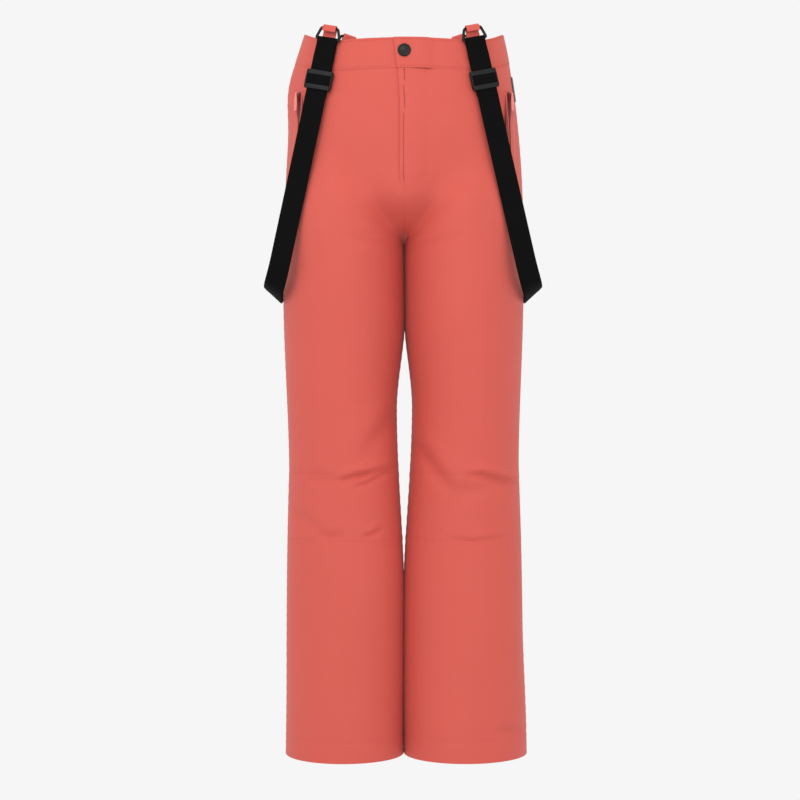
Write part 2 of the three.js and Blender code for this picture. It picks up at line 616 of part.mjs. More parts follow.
function roundedRectangle(width, height, radius, Kind = THREE.Shape) {
  const shape = new Kind();
  const x = width / 2;
  const y = height / 2;
  shape.moveTo(-x + radius, -y);
  shape.lineTo(x - radius, -y);
  shape.absarc(x - radius, -y + radius, radius, -Math.PI / 2, 0);
  shape.lineTo(x, y - radius);
  shape.absarc(x - radius, y - radius, radius, 0, Math.PI / 2);
  shape.lineTo(-x + radius, y);
  shape.absarc(-x + radius, y - radius, radius, Math.PI / 2, Math.PI);
  shape.lineTo(-x, -y + radius);
  shape.absarc(-x + radius, -y + radius, radius, Math.PI, Math.PI * 1.5);
  return shape;
}

// A flat rectangular ring in its own plane: its top bar's middle is at the origin, its length runs along -y.
function ringShape() {
  const outer = roundedRectangle(RING.width, RING.length + RING.bar, 2);
  outer.holes.push(roundedRectangle(RING.width - 2 * RING.bar, RING.length - RING.bar, 1, THREE.Path));
  const geometry = new THREE.ExtrudeGeometry(outer, { depth: RING.bar, bevelEnabled: false, curveSegments: 3 });
  return geometry.translate(0, -RING.length / 2, -RING.bar / 2);
}

// A strip of cloth folded over the ring's bar: one leg tucked in the ring, the other sewn to the band.
function tabShape(reach) {
  const inner = RING.bar / 2 * Math.SQRT2 + CLEAR;
  const outer = inner + TAB.cloth;
  const shape = new THREE.Shape();
  shape.moveTo(inner, -TAB.tuck);
  shape.lineTo(inner, 0);
  shape.absarc(0, 0, inner, 0, Math.PI, false);
  shape.lineTo(-inner, -reach);
  shape.lineTo(-outer, -reach);
  shape.lineTo(-outer, 0);
  shape.absarc(0, 0, outer, Math.PI, 0, true);
  shape.lineTo(outer, -TAB.tuck);
  const geometry = new THREE.ExtrudeGeometry(shape, { depth: TAB.width, bevelEnabled: false, curveSegments: 6 });
  return geometry.translate(0, 0, -TAB.width / 2).rotateY(-Math.PI / 2);
}

// A sleeve that runs on the webbing, drawn out along y.
function adjusterShape() {
  const innerWidth = WEBBING_WIDTH + 2 * CLEAR;
  const innerDepth = WEBBING + 2 * CLEAR;
  const rectangle = (width, depth, Kind) => new Kind([[-1, -1], [1, -1], [1, 1], [-1, 1]]
    .map(([x, z]) => new THREE.Vector2((x * width) / 2, (z * depth) / 2)));
  const outline = rectangle(ADJUSTER.width, innerDepth + 2 * ADJUSTER.wall, THREE.Shape);
  const hole = rectangle(innerWidth, innerDepth, THREE.Path);
  return drawnOut(outline, ADJUSTER.height, new THREE.Matrix4(), [hole]).translate(0, -ADJUSTER.height / 2, 0);
}

function brace(name, side) {
  const mirror = new THREE.Matrix4().makeScale(side, 1, 1);
  const layout = braceLayout(FRONT_TAB_X[name]);
  for (const [end, run] of Object.entries(layout)) {
    const across = acrossRun(run);
    if (end === 'back') across.negate();
    const frame = frameAt(run.top, across, run.down.clone().negate()).premultiply(mirror);
    const rise = end === 'front' ? FRONT_RISE : BACK_RISE;
    add(`brace_ring_${end}_${name}`, faceOut(ringShape(), frame), black);
    add(`brace_tab_${end}_${name}`, faceOut(tabShape(TAB.reach + rise), frame), coral);
  }
  add(`brace_webbing_${name}`, faceOut(webbing(layout), mirror), black);
  const { front } = layout;
  const adjusterAt = along(front.top, front.down, ADJUSTER.drop);
  const adjusterFrame = frameAt(adjusterAt, acrossRun(front), front.down.clone().negate()).premultiply(mirror);
  add(`adjuster_${name}`, faceOut(adjusterShape(), adjusterFrame), black);
}

// ---- Label --------------------------------------------------------------------------------------------------------------------------------
function sideLabel() {
  const high = torsoRow(0.96);
  const low = torsoRow(0.82);
  add('side_label', cloth(SIDES.left, [0.4375, 0.485], [low, high], CLEAR + 0.6, CLEAR), grey);
}

for (const [name, side] of Object.entries(SIDES)) {
  shell(name, side);
  lining(name, side);
  pocketBag(name, side);
  hem(name, side);
  pocketZip(name, side);
  brace(name, side);
}
waistband();
flyZip();
flyFlap();
sideLabel();

const group = new THREE.Group();
model.position.z = -RIM_SIDE_HEIGHT;
group.add(model);

export default group;
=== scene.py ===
"""Looks for the ski pants: insulated cloth panels, waistband, lapped fly, zips, gaiters and braces.

Metres. Heights are worked out above the hems and lowered by WAIST when a mesh is made, so that the
middle of the waist opening is the origin. Cloth is worked out for the left half, where u runs from the
middle of the front (0) past the side seam (0.5) to the middle of the back (1). The right half is its
mirror image.
"""

import math

import bmesh
import bpy
import numpy as np
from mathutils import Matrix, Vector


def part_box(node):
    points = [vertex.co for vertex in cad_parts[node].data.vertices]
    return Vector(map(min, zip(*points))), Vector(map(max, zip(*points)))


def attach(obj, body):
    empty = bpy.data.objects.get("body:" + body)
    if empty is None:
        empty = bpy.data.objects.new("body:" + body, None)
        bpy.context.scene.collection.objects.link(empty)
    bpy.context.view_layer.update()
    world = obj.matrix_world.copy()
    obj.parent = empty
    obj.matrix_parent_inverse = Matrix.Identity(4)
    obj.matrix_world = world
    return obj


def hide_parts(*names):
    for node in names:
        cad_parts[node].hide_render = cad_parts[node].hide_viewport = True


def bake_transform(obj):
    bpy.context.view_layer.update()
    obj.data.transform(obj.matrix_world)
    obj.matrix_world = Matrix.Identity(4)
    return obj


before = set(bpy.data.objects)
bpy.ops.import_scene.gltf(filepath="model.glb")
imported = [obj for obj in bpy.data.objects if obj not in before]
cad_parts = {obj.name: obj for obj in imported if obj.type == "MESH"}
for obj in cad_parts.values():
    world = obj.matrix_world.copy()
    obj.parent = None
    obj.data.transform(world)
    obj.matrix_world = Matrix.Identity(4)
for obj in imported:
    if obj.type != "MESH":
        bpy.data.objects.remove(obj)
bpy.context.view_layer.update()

TAU = 2 * math.pi
WAIST = 0.838
KNEE, CROTCH, HIP = 0.290, 0.598, 0.690
RIM_FRONT, RIM_SIDE, RIM_BACK, BAND = 0.820, 0.838, 0.850, 0.035
THIGH_WIDTH = 0.1404
PANEL_ROUND = 0.42  # the cloth's length round half the body, which scales the woven pattern
SHELL = 0.0022
LINING_FACE = -0.0058
LINING = 0.0008
SIDES = {"right": -1, "left": 1}


# ---- Camera, light and floor
def add_camera():
    """A long lens level with the knees' top, straight in front."""
    lens = bpy.data.cameras.new("camera")
    lens.lens, lens.sensor_width = 83.3, 36
    camera = bpy.data.objects.new("camera", lens)
    camera.location = (-0.0047, -2.165, -0.426)
    camera.rotation_euler = (math.pi / 2, 0, 0)
    bpy.context.scene.collection.objects.link(camera)
    bpy.context.scene.camera = camera


def add_light(name, place, aim, size, power, colour):
    """A square soft box at place that faces aim."""
    lamp = bpy.data.lights.new(name, "AREA")
    lamp.size, lamp.energy, lamp.color = size, power, colour
    holder = bpy.data.objects.new(name, lamp)
    holder.location = place
    toward = np.subtract(aim, place)
    flat = math.hypot(toward[0], toward[1])
    holder.rotation_euler = (math.atan2(flat, -toward[2]), 0, math.atan2(-toward[0], toward[1]))
    bpy.context.scene.collection.objects.link(holder)


def add_studio():
    """A pale world, a large box in front and above, a weaker one in front and a weaker one at the side.
    """
    world = bpy.data.worlds.new("studio")
    world.use_nodes = True
    back = world.node_tree.nodes["Background"]
    back.inputs["Color"].default_value = (0.923, 0.923, 0.923, 1)
    back.inputs["Strength"].default_value = 1.0
    bpy.context.scene.world = world
    bpy.context.scene.view_settings.view_transform = "Standard"
    add_light("key", (-0.7, -1.7, 1.1), (0, 0, -0.05), 1.2, 15.5, (1, 0.99, 0.97))
    add_light("front", (0.25, -2.1, 0.35), (0, 0, 0), 1.4, 6.5, (1, 1, 1))
    add_light("fill", (1.8, -1.4, 0.3), (0, 0, -0.4), 1.2, 2, (1, 1, 1))


add_camera()
add_studio()


# ---- Small formulas
def clamp(t):
    """t held between 0 and 1."""
    return np.clip(t, 0.0, 1.0)


def mix(a, b, t):
    """a at 0, b at 1, in a straight line between."""
    return a + (b - a) * t


def smooth(t):
    """0 to 1 along an S curve, level at both ends."""
    t = clamp(t)
    return t * t * (3 - 2 * t)


def between(z, low, high):
    """The S curve laid from low to high."""
    return smooth((z - low) / (high - low))


def bell(t):
    """1 at 0, falling off to both sides."""
    return np.exp(-t * t)


def unit(v):
    """Vectors along the last axis made one long."""
    return v / np.maximum(np.linalg.norm(v, axis=-1, keepdims=True), 1e-12)


# ---- The body surface
def half_width(z):
    """A gentle waist, a full thigh, a slimmer knee and a wider hem."""
    hips = mix(THIGH_WIDTH, 0.116, clamp((z - 0.560) / 0.278) ** 2.7)
    thigh = mix(0.1324, THIGH_WIDTH, between(z, 0.330, 0.560))
    shin = mix(0.1388, 0.1324, (z / 0.330) ** 2)
    return np.where(z > 0.560, hips, np.where(z > 0.330, thigh, shin))


def half_depth(z):
    """Deepest at the hips, shallow from the knee down."""
    hips = mix(0.098, 0.084, between(z, HIP, RIM_SIDE))
    thigh = mix(0.070, 0.098, between(z, KNEE, HIP))
    shin = mix(0.071, 0.070, between(z, 0, KNEE))
    return np.where(z > HIP, hips, np.where(z > KNEE, thigh, shin))


def leg_gap(z):
    """Half the daylight between the legs, widest halfway down the thigh. Under the crotch they press
    together, and at the hems they just touch."""
    above = mix(-0.0008, 0.0088, 1 - between(z, 0.4009, 0.512))
    below = mix(0.0002, 0.0088, between(z, 0.170, 0.4009))
    return np.where(z > 0.4009, above, below)


def surface(u, z):
    """The left half's plain outer face. Below the crotch it is an ellipse round one leg, and above it
    half the hips' ellipse. Between, the one turns into the other, at once at the middle and slowly at
    the side, a little fuller in front and behind so that the profile has no notch there."""
    u, z = np.broadcast_arrays(np.asarray(u, float), np.asarray(z, float))
    width, depth, gap = half_width(z), half_depth(z), leg_gap(z)
    seat = 0.006 * between(z, KNEE, HIP) * (1 - between(z, HIP, RIM_SIDE))
    leg_x = (width + gap) / 2 - (width - gap) / 2 * np.cos(TAU * u)
    leg_y = -depth * np.sin(TAU * u)
    hip_x = gap + (width - gap) * np.sin(math.pi * u)
    hip_y = -depth * np.cos(math.pi * u)
    above = np.maximum(0, z - CROTCH)
    near_middle = np.abs(np.cos(math.pi * u)) ** 6
    at_seam = mix(smooth(above / 0.075), np.sqrt(1 - (1 - clamp(above / 0.075)) ** 2), near_middle ** 2)
    share = mix(smooth(above / 0.130), at_seam, near_middle)
    x = mix(leg_x, hip_x, share)
    fuller = 1 + 0.07 * bell((z - 0.637) / 0.021) * (1 - between(x, 0.065, 0.098))
    return np.stack([x, seat + mix(leg_y, hip_y, share) * fuller, z], axis=-1)


def wrapped(u, z):
    """The surface carried on past the middle: round the leg, or onto the other half's mirror image."""
    u, z = np.broadcast_arrays(np.asarray(u, float), np.asarray(z, float))
    over = (u < 0) | (u > 1)
    leg = z <= CROTCH
    turned = np.where(leg, u - np.floor(u), np.where(u < 0, -u, 2 - u))
    points = surface(np.where(over, turned, u), z)
    points[..., 0] = np.where(over & ~leg, -points[..., 0], points[..., 0])
    return points


def outward(u, z):
    """The direction square to the surface: the way round crossed with the way up."""
    u, z = np.broadcast_arrays(np.asarray(u, float), np.asarray(z, float))
    leg = z <= CROTCH
    rise = np.where(leg, 0.0005, np.minimum(0.0005, (z - CROTCH) / 2))
    way_round = wrapped(u + 0.004, z) - wrapped(u - 0.004, z)
    way_up = wrapped(u, np.where(leg, z, z + 0.0005)) - wrapped(u, z - rise)
    return unit(np.cross(way_round, way_up))


def rim(u):
    """The waist's top edge: low in front, high behind."""
    u = np.abs(np.asarray(u, float))
    front = mix(RIM_FRONT, RIM_SIDE, between(u, 0.2, 0.5))
    back = mix(RIM_SIDE, RIM_BACK, between(u, 0.5, 1))
    return np.where(u < 0.5, front, back)


def band_bottom(u):
    """The height of the waistband's seam. Past the middle of the back, u runs on onto the right half."""
    return rim(np.where(np.asarray(u) > 1, 2 - np.asarray(u), u)) - BAND


def knee_edge(u, sign):
    """The knee panel's edge: 38 mm from the knee in front, dipping or rising 40 mm more behind."""
    return KNEE + sign * (0.038 + 0.040 * np.maximum(0, -np.sin(TAU * u)))


def from_middle(distance):
    """A distance from the middle seam, as u."""
    return distance / (math.pi * THIGH_WIDTH)


# ---- How the cloth hangs
def crease(x, z, line, width, depth, ridge=0.6):
    """A fold along a line of points (x, height): a valley shaped as a bell across the line, with a lower
    ridge above it, both fading to nothing at the line's ends."""
    line = np.asarray(line, float)
    if line[-1, 0] < line[0, 0]:
        line = line[::-1]
    steps = np.linalg.norm(np.diff(line, axis=0), axis=1)
    gap, off, share = np.full(x.shape, 1e9), np.zeros(x.shape), np.zeros(x.shape)
    passed = 0.0
    for start, end, length in zip(line[:-1], line[1:], steps):
        dx, dz = (end - start) / length
        run = np.clip((x - start[0]) * dx + (z - start[1]) * dz, 0, length)
        ax, az = x - start[0] - run * dx, z - start[1] - run * dz
        distance = np.hypot(ax, az)
        near = distance < gap
        gap = np.where(near, distance, gap)
        off = np.where(near, np.where(dx * az - dz * ax >= 0, distance, -distance), off)
        share = np.where(near, (passed + run) / steps.sum(), share)
        passed += length
    fade = np.sin(math.pi * clamp(share)) ** 0.7
    return depth * fade * (ridge * bell((off - 1.6 * width) / (1.3 * width)) - bell(off / width))


# Folds in front of each leg, as (line, width, depth, ridge), x counted away from the middle.
FRONT_FOLDS = {
    "right": [
        (((0.078, 0.319), (0.069, 0.321), (0.042, 0.328), (0.012, 0.335)), 0.0040, 0.0026, 0.8),
        (((0.060, 0.312), (0.043, 0.317), (0.012, 0.332)), 0.0035, 0.0016, 0.7),
        (((0.110, 0.322), (0.078, 0.319)), 0.0080, 0.0010, 0.4),
        (((0.100, 0.262), (0.085, 0.255), (0.066, 0.260)), 0.0060, 0.0015, 0.6),
        (((0.048, 0.256), (0.037, 0.259), (0.024, 0.265)), 0.0035, 0.0014, 0.6),
        (((0.006, 0.405), (0.022, 0.380), (0.048, 0.345)), 0.0100, 0.0016, 0.5),
        (((0.128, 0.285), (0.105, 0.268), (0.100, 0.262)), 0.0080, 0.0014, 0.5),
    ],
    "left": [
        (((0.010, 0.365), (0.014, 0.359), (0.034, 0.330), (0.056, 0.305)), 0.0095, 0.0026, 0.5),
        (((0.040, 0.312), (0.060, 0.305), (0.092, 0.311), (0.118, 0.316)), 0.0090, 0.0013, 0.4),
        (((0.070, 0.327), (0.090, 0.326), (0.108, 0.321), (0.132, 0.315)), 0.0042, 0.0026, 0.8),
        (((0.045, 0.255), (0.075, 0.252), (0.125, 0.256)), 0.0035, 0.0010, 0.5),
        (((0.104, 0.033), (0.118, 0.034), (0.134, 0.031)), 0.0050, 0.0014, 0.5),
    ],
}
BACK_FOLDS = [
    (((0.012, 0.318), (0.045, 0.306), (0.085, 0.308), (0.126, 0.322)), 0.0070, 0.0030, 0.8),
    (((0.020, 0.283), (0.060, 0.276), (0.118, 0.290)), 0.0060, 0.0026, 0.8),
    (((0.014, 0.350), (0.050, 0.340), (0.090, 0.344)), 0.0080, 0.0018, 0.6),
    (((0.018, 0.578), (0.050, 0.562), (0.100, 0.570)), 0.0100, 0.0030, 0.7),
    (((0.010, 0.548), (0.040, 0.530), (0.080, 0.528)), 0.0110, 0.0018, 0.6),
    (((0.030, 0.040), (0.070, 0.034), (0.110, 0.041)), 0.0070, 0.0012, 0.6),
]
CROTCH_FOLDS = [
    (((0.006, 0.600), (0.028, 0.622), (0.062, 0.650)), 0.0070, 0.0011, 0.6),
    (((0.004, 0.584), (0.030, 0.590), (0.070, 0.596)), 0.0080, 0.0012, 0.6),
]


KNEE_DEPTH, SEAT_DEPTH = 1.7, 1.5


def swell(side, u, z):
    """The right hip's cloth stands off beside the pocket, and the left hem flares at its side."""
    hip = 0.0072 * bell((u - 0.5) / 0.070) * bell((z - 0.775) / 0.040)
    hem = 0.0045 * bell((u - 0.5) / 0.12) * (1 - between(z, 0.0, 0.16))
    return np.where(np.asarray(side) < 0, hip, hem)


def drape(side, u, z):
    """How far the hanging cloth stands off the plain surface: long soft waves down the legs, the folds
    at the knees, seat and hems, and fine puckers along the seams."""
    name = "left" if side > 0 else "right"
    turned = u - np.floor(u)
    x = surface(turned, z)[..., 0]
    facing = np.sin(TAU * turned)
    off_middle = mix(1.0, smooth(3 * np.abs(np.sin(math.pi * turned))), between(z, 0.545, 0.602))
    size = 0.0013 * (1 - 0.8 * between(z, 0.50, 0.62)) * between(z, -0.06, 0.10)
    waves = np.sin(TAU * (2 * turned + 0.9 * z) + 0.7 * side)
    waves = waves + 0.6 * np.sin(TAU * (3 * turned - 1.4 * z) + 1.9)
    total = size * waves * off_middle
    front, back = smooth(facing / 0.35), smooth(-facing / 0.35)
    for line, width, depth, ridge in FRONT_FOLDS[name]:
        total = total + front * crease(x, z, line, width, KNEE_DEPTH * depth, ridge)
    wavy = z + 0.004 * side * np.sin(x * 60)
    for line, width, depth, ridge in BACK_FOLDS:
        total = total + back * crease(x, wavy, line, width, SEAT_DEPTH * depth, ridge)
    for line, width, depth, ridge in CROTCH_FOLDS:
        total = total + off_middle * front * crease(x, z, line, width, depth, ridge)
    side_seam = np.abs(turned - 0.5) * 0.42
    middle_seam = np.minimum(turned, 1 - turned) * 0.42
    puckers = np.sin(TAU * z / 0.011 + 2.5 * np.sin(31 * z))
    near_seams = bell(side_seam / 0.006) + bell(middle_seam / 0.005) * off_middle
    total = total + 0.00022 * puckers * near_seams
    knee_puckers = np.sin(TAU * 40 * turned + 2 * np.sin(TAU * 5 * turned))
    for sign in (-1, 1):
        total = total + 0.0002 * knee_puckers * bell((z - knee_edge(turned, sign)) / 0.006)
    hem_line = bell((z - 0.0245) / 0.0014)
    return total - 0.00035 * hem_line + swell(side, turned, z)


# ---- Mesh building
def sheet_faces(index):
    """Four-sided faces between neighbours of a grid of point numbers."""
    a, b, c, d = index[:-1, :-1], index[:-1, 1:], index[1:, 1:], index[1:, :-1]
    return np.stack([a, b, c, d], axis=-1).reshape(-1, 4)


def facing_out(points, faces):
    """The faces, turned round if the volume that they enclose comes out negative."""
    a, b, c, d = (points[faces[:, i]] for i in range(4))
    volume = (np.cross(a, b) * c).sum() + (np.cross(a, c) * d).sum()
    return faces if volume > 0 else faces[:, ::-1]


def slab(outer, inner, across, along, edge_shade_weight):
    """A closed wall between two grids of points: the outer face, the inner face and a strip along each
    edge. across and along are the pattern's place in metres, and the last argument sets how much painted
    seam shade each point gets, 1 at a rolled edge."""
    rows, columns = outer.shape[:2]
    count = rows * columns
    front = np.arange(count).reshape(rows, columns)
    border = np.concatenate([front[0, :], front[1:, -1], front[-1, -2::-1], front[-2::-1, 0]])
    wall = np.stack([border, border + count])
    points = np.concatenate([outer.reshape(-1, 3), inner.reshape(-1, 3)])
    back, strip = sheet_faces(front + count)[:, ::-1], sheet_faces(wall)[:, ::-1]
    faces = np.concatenate([sheet_faces(front), back, strip])
    pattern = np.stack([across, along], axis=-1).reshape(-1, 2)
    pattern = np.concatenate([pattern, pattern])
    return points, facing_out(points, faces), pattern, np.tile(edge_shade_weight.ravel(), 2)


def skin(rings, pattern=None, edge_shade_weight=None, closed=False):
    """A shape from a grid of points, one row for each ring. Every ring closes, and if closed is set the
    last row meets the first."""
    rows, columns = rings.shape[:2]
    index = np.arange(rows * columns).reshape(rows, columns)
    index = np.concatenate([index, index[:, :1]], axis=1)
    if closed:
        index = np.concatenate([index, index[:1]], axis=0)
    points = rings.reshape(-1, 3)
    pattern = np.zeros((len(points), 2)) if pattern is None else pattern
    edge_shade_weight = np.zeros(len(points)) if edge_shade_weight is None else edge_shade_weight
    return points, facing_out(points, sheet_faces(index)), pattern, edge_shade_weight


def capped(rings, centres):
    """The rings with both ends drawn together on a point."""
    ends = [np.broadcast_to(spot, rings[:1].shape) for spot in (centres[0], centres[-1])]
    return np.concatenate([ends[0], rings, ends[1]])


def tube(centres, across, out, section, scale=None):
    """A closed section carried along a path: each station is its centre plus the section's two numbers
    along across and out. Both ends close on a point. The pattern runs across the section and along."""
    scale = np.ones(len(centres)) if scale is None else scale
    across, out = (np.broadcast_to(way, centres.shape) for way in (across, out))
    offset = across[:, None] * section[None, :, :1] + out[:, None] * section[None, :, 1:]
    rings = capped(centres[:, None] + offset * scale[:, None, None], centres)
    steps = np.linalg.norm(np.diff(centres, axis=0), axis=1)
    passed = np.concatenate([[0], np.cumsum(steps)])
    passed = np.concatenate([passed[:1], passed, passed[-1:]])
    pattern = np.stack(np.broadcast_arrays(section[None, :, 0], passed[:, None]), axis=-1).reshape(-1, 2)
    wide = np.abs(section[:, 0]) / max(np.abs(section[:, 0]).max(), 1e-9)
    # How much painted edge shade each point gets: 1 at the section's widest points.
    edge_shade_weight = np.broadcast_to(between(wide, 0.9, 1.0)[None], rings.shape[:2]).ravel()
    return skin(rings, pattern, edge_shade_weight)


def loop_tube(centres, out, section):
    """A closed section carried round a closed path, set square to the path and out."""
    way = unit(np.roll(centres, -1, axis=0) - np.roll(centres, 1, axis=0))
    out = np.broadcast_to(out, centres.shape)
    across = unit(np.cross(out, way))
    offset = across[:, None] * section[None, :, :1] + out[:, None] * section[None, :, 1:]
    return skin(centres[:, None] + offset, closed=True)


def turned_shape(profile, place, axis, sides=48):
    """A profile of (radius, height) turned round an axis through place, from axis to axis."""
    profile = np.asarray(profile, float)
    axis = unit(np.asarray(axis, float))
    first = unit(np.cross(axis, (0.0, 0.0, 1.0) if abs(axis[2]) < 0.9 else (1.0, 0.0, 0.0)))
    second = np.cross(axis, first)
    turn = TAU * np.arange(sides) / sides
    radial = np.cos(turn)[:, None] * first + np.sin(turn)[:, None] * second
    return skin(np.asarray(place) + profile[:, None, :1] * radial[None] + profile[:, None, 1:] * axis)


def small_runs(starts, ways, outs, length, width, height, sink=0.3, sides=6):
    """Many short rounded bars at once, such as stitches or teeth. Each lies along its way, is fattest in
    the middle, and its ends turn down by sink times its height."""
    t = np.array([-1, -1, -0.75, 0, 0.75, 1, 1.0])
    fat = np.array([0, 0.55, 0.9, 1, 0.9, 0.55, 0])
    angle = TAU * np.arange(sides) / sides
    across = unit(np.cross(outs, ways))
    forward, down = (t * length / 2)[None, :, None], (sink * height * t ** 4)[None, :, None]
    centre = starts[:, None] + ways[:, None] * forward - outs[:, None] * down
    ring = (centre[:, :, None]
            + across[:, None, None] * (fat[:, None] * np.cos(angle) * width / 2)[None, :, :, None]
            + outs[:, None, None] * (fat[:, None] * np.sin(angle) * height / 2)[None, :, :, None])
    one = np.arange(len(t) * sides).reshape(len(t), sides)
    one = np.concatenate([one, one[:, :1]], axis=1)
    faces = sheet_faces(one)
    points = ring.reshape(-1, 3)
    all_faces = (faces[None] + (np.arange(len(starts)) * len(t) * sides)[:, None, None]).reshape(-1, 4)
    one_pattern = np.stack(np.meshgrid(t * length / 2, angle * width, indexing="ij"), axis=-1)
    pattern = np.tile(one_pattern.reshape(-1, 2), (len(starts), 1))
    return (points, facing_out(points, all_faces), pattern, np.zeros(len(points)))


def mirrored(shape, side):
    """The shape itself on the left, and its mirror image on the right."""
    points, faces, pattern, edge_shade_weight = shape
    if side > 0:
        return shape
    return (points * (-1, 1, 1), faces[:, ::-1], pattern, edge_shade_weight)


def build(name, parts, finishes):
    """One object from shapes, each paired with the number of its finish. Points that meet are joined."""
    starts = np.cumsum([0] + [len(shape[0]) for shape, _ in parts])
    points = np.concatenate([shape[0] for shape, _ in parts]) - (0, 0, WAIST)
    faces = np.concatenate([shape[1] + start for (shape, _), start in zip(parts, starts)])
    pattern = np.concatenate([shape[2] for shape, _ in parts])
    edge_shade_weight = np.concatenate([shape[3] for shape, _ in parts])
    numbers = np.concatenate([np.full(len(shape[1]), number) for shape, number in parts])
    mesh = bpy.data.meshes.new(name)
    mesh.vertices.add(len(points))
    mesh.vertices.foreach_set("co", points.astype(np.float32).ravel())
    mesh.loops.add(faces.size)
    mesh.loops.foreach_set("vertex_index", faces.astype(np.int32).ravel())
    mesh.polygons.add(len(faces))
    mesh.polygons.foreach_set("loop_start", np.arange(0, faces.size, 4, dtype=np.int32))
    mesh.polygons.foreach_set("loop_total", np.full(len(faces), 4, dtype=np.int32))
    mesh.update(calc_edges=True)
    mesh.polygons.foreach_set("material_index", numbers.astype(np.int32))
    mesh.polygons.foreach_set("use_smooth", np.ones(len(faces), dtype=bool))
    layer = mesh.uv_layers.new(name="cloth")
    layer.data.foreach_set("uv", pattern[faces.ravel()].astype(np.float32).ravel())
    # A point attribute that carries how much painted seam shade each point gets.
    painted_edge_shade = mesh.attributes.new("painted_edge_shade", "FLOAT", "POINT")
    painted_edge_shade.data.foreach_set("value", edge_shade_weight.astype(np.float32))
    joined = bmesh.new()
    joined.from_mesh(mesh)
    bmesh.ops.remove_doubles(joined, verts=joined.verts, dist=1e-7)
    joined.to_mesh(mesh)
    joined.free()
    for finish in finishes:
        mesh.materials.append(finish)
    piece = bpy.data.objects.new(name, mesh)
    bpy.context.scene.collection.objects.link(piece)
    return piece


def place(piece, body, slot, *nodes):
    """The piece rides on a body, except on the knees and the fly's bend, where it keeps its place, and
    stands for its nodes, which are hidden. slot is not used.
    """
    if body == "knee_right" or body == "knee_left":
        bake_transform(piece)
    elif body == "fly_bend":
        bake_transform(piece)
    else:
        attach(piece, body)
    if nodes:
        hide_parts(*nodes)
    return piece


def single(name, shape, finish, body, slot, *nodes):
    """A piece made of one shape in one finish, built and placed."""
    return place(build(name, [(shape, 0)], [finish]), body, slot, *nodes)


# ---- Finishes
def add_node(tree, kind, sockets=None, **settings):
    """A node of a kind with its settings. A socket given an output is linked, and otherwise set."""
    made = tree.nodes.new(kind)
    for key, value in settings.items():
        setattr(made, key, value)
    for key, value in (sockets or {}).items():
        if isinstance(value, bpy.types.NodeSocket):
            tree.links.new(value, made.inputs[key])
        else:
            made.inputs[key].default_value = value
    return made


def maths(tree, operation, a, b=0.0):
    """One Math node's output."""
    return add_node(tree, "ShaderNodeMath", {0: a, 1: b}, operation=operation).outputs[0]


def product(tree, a, b):
    """Two values multiplied."""
    return maths(tree, "MULTIPLY", a, b)


def stretched(tree, value, low, high, start=0.0, end=1.0):
    """A value carried from start..end to low..high."""
    sockets = {"Value": value, "From Min": start, "From Max": end, "To Min": low, "To Max": high}
    return add_node(tree, "ShaderNodeMapRange", sockets).outputs[0]


def bumped(tree, shader, height, distance, strength=1.0):
    """The shader's surface raised by a height."""
    sockets = {"Strength": strength, "Distance": distance, "Height": height}
    tree.links.new(add_node(tree, "ShaderNodeBump", sockets).outputs[0], shader.inputs["Normal"])


def threads(tree, across, along):
    """The height of a woven cloth from its own pattern place: the product of one wave across and one
    wave along, so that threads pass over and under."""
    place_uv = add_node(tree, "ShaderNodeUVMap", uv_map="cloth").outputs[0]
    split = add_node(tree, "ShaderNodeSeparateXYZ", {0: place_uv})
    waves = [
        maths(tree, "SINE", product(tree, split.outputs[i], TAU / period))
        for i, period in ((0, across), (1, along))
    ]
    return product(tree, *waves), split


def patchy(tree, scale, detail=3.0):
    """Cloudy variation over the piece, from 0 to 1."""
    where = add_node(tree, "ShaderNodeTexCoord").outputs["Object"]
    sockets = {"Vector": where, "Scale": scale, "Detail": detail, "Roughness": 0.55}
    return add_node(tree, "ShaderNodeTexNoise", sockets).outputs[0]


def blend_colour(tree, share, first, second):
    """first where share is 0 and second where it is 1."""
    return add_node(tree, "ShaderNodeMix", {0: share, 6: first, 7: second}, data_type="RGBA").outputs[2]


def shaded(colour, factor):
    """A colour made darker or lighter."""
    return tuple(min(1.0, c * factor) for c in colour[:3]) + (1.0,)


def new_finish(name, **sockets):
    """A shader with its plain values set on its own sockets."""
    made = bpy.data.materials.new(name)
    made.use_nodes = True
    tree = made.node_tree
    shader = tree.nodes["Principled BSDF"]
    for key, value in sockets.items():
        shader.inputs[key.replace("_", " ")].default_value = value
    return made, tree, shader


def cloth_finish(name, colour, roughness, across, along, lift, sheen=0.08, seam=0.10, cloud=7.0):
    """Woven cloth: cloudy colour, rolled edges darkened by painted seam shade, uneven roughness, and
    threads that stand up.
    """
    made, tree, shader = new_finish(name, Roughness=roughness, Sheen_Weight=sheen, Sheen_Roughness=0.45)
    height, _ = threads(tree, across, along)
    cloud_share = patchy(tree, cloud)
    base = blend_colour(tree, cloud_share, shaded(colour, 0.94), shaded(colour, 1.06))
    fine = blend_colour(tree, patchy(tree, 900.0, 2.0), shaded(colour, 0.9), shaded(colour, 1.1))
    base = blend_colour(tree, 0.3, base, fine)
    # Painted shade: the colour darkens towards 0.45 of the base where the cloth rolls into a seam or
    # edge, as much as the point attribute times seam.
    painted_edge_shade = add_node(tree, "ShaderNodeAttribute", attribute_name="painted_edge_shade").outputs["Fac"]
    base = blend_colour(tree, product(tree, painted_edge_shade, seam), base, shaded(colour, 0.45))
    tree.links.new(base, shader.inputs["Base Color"])
    rough = stretched(tree, patchy(tree, 40.0), roughness - 0.06, roughness + 0.08)
    tree.links.new(rough, shader.inputs["Roughness"])
    bumped(tree, shader, height, lift)
    return made


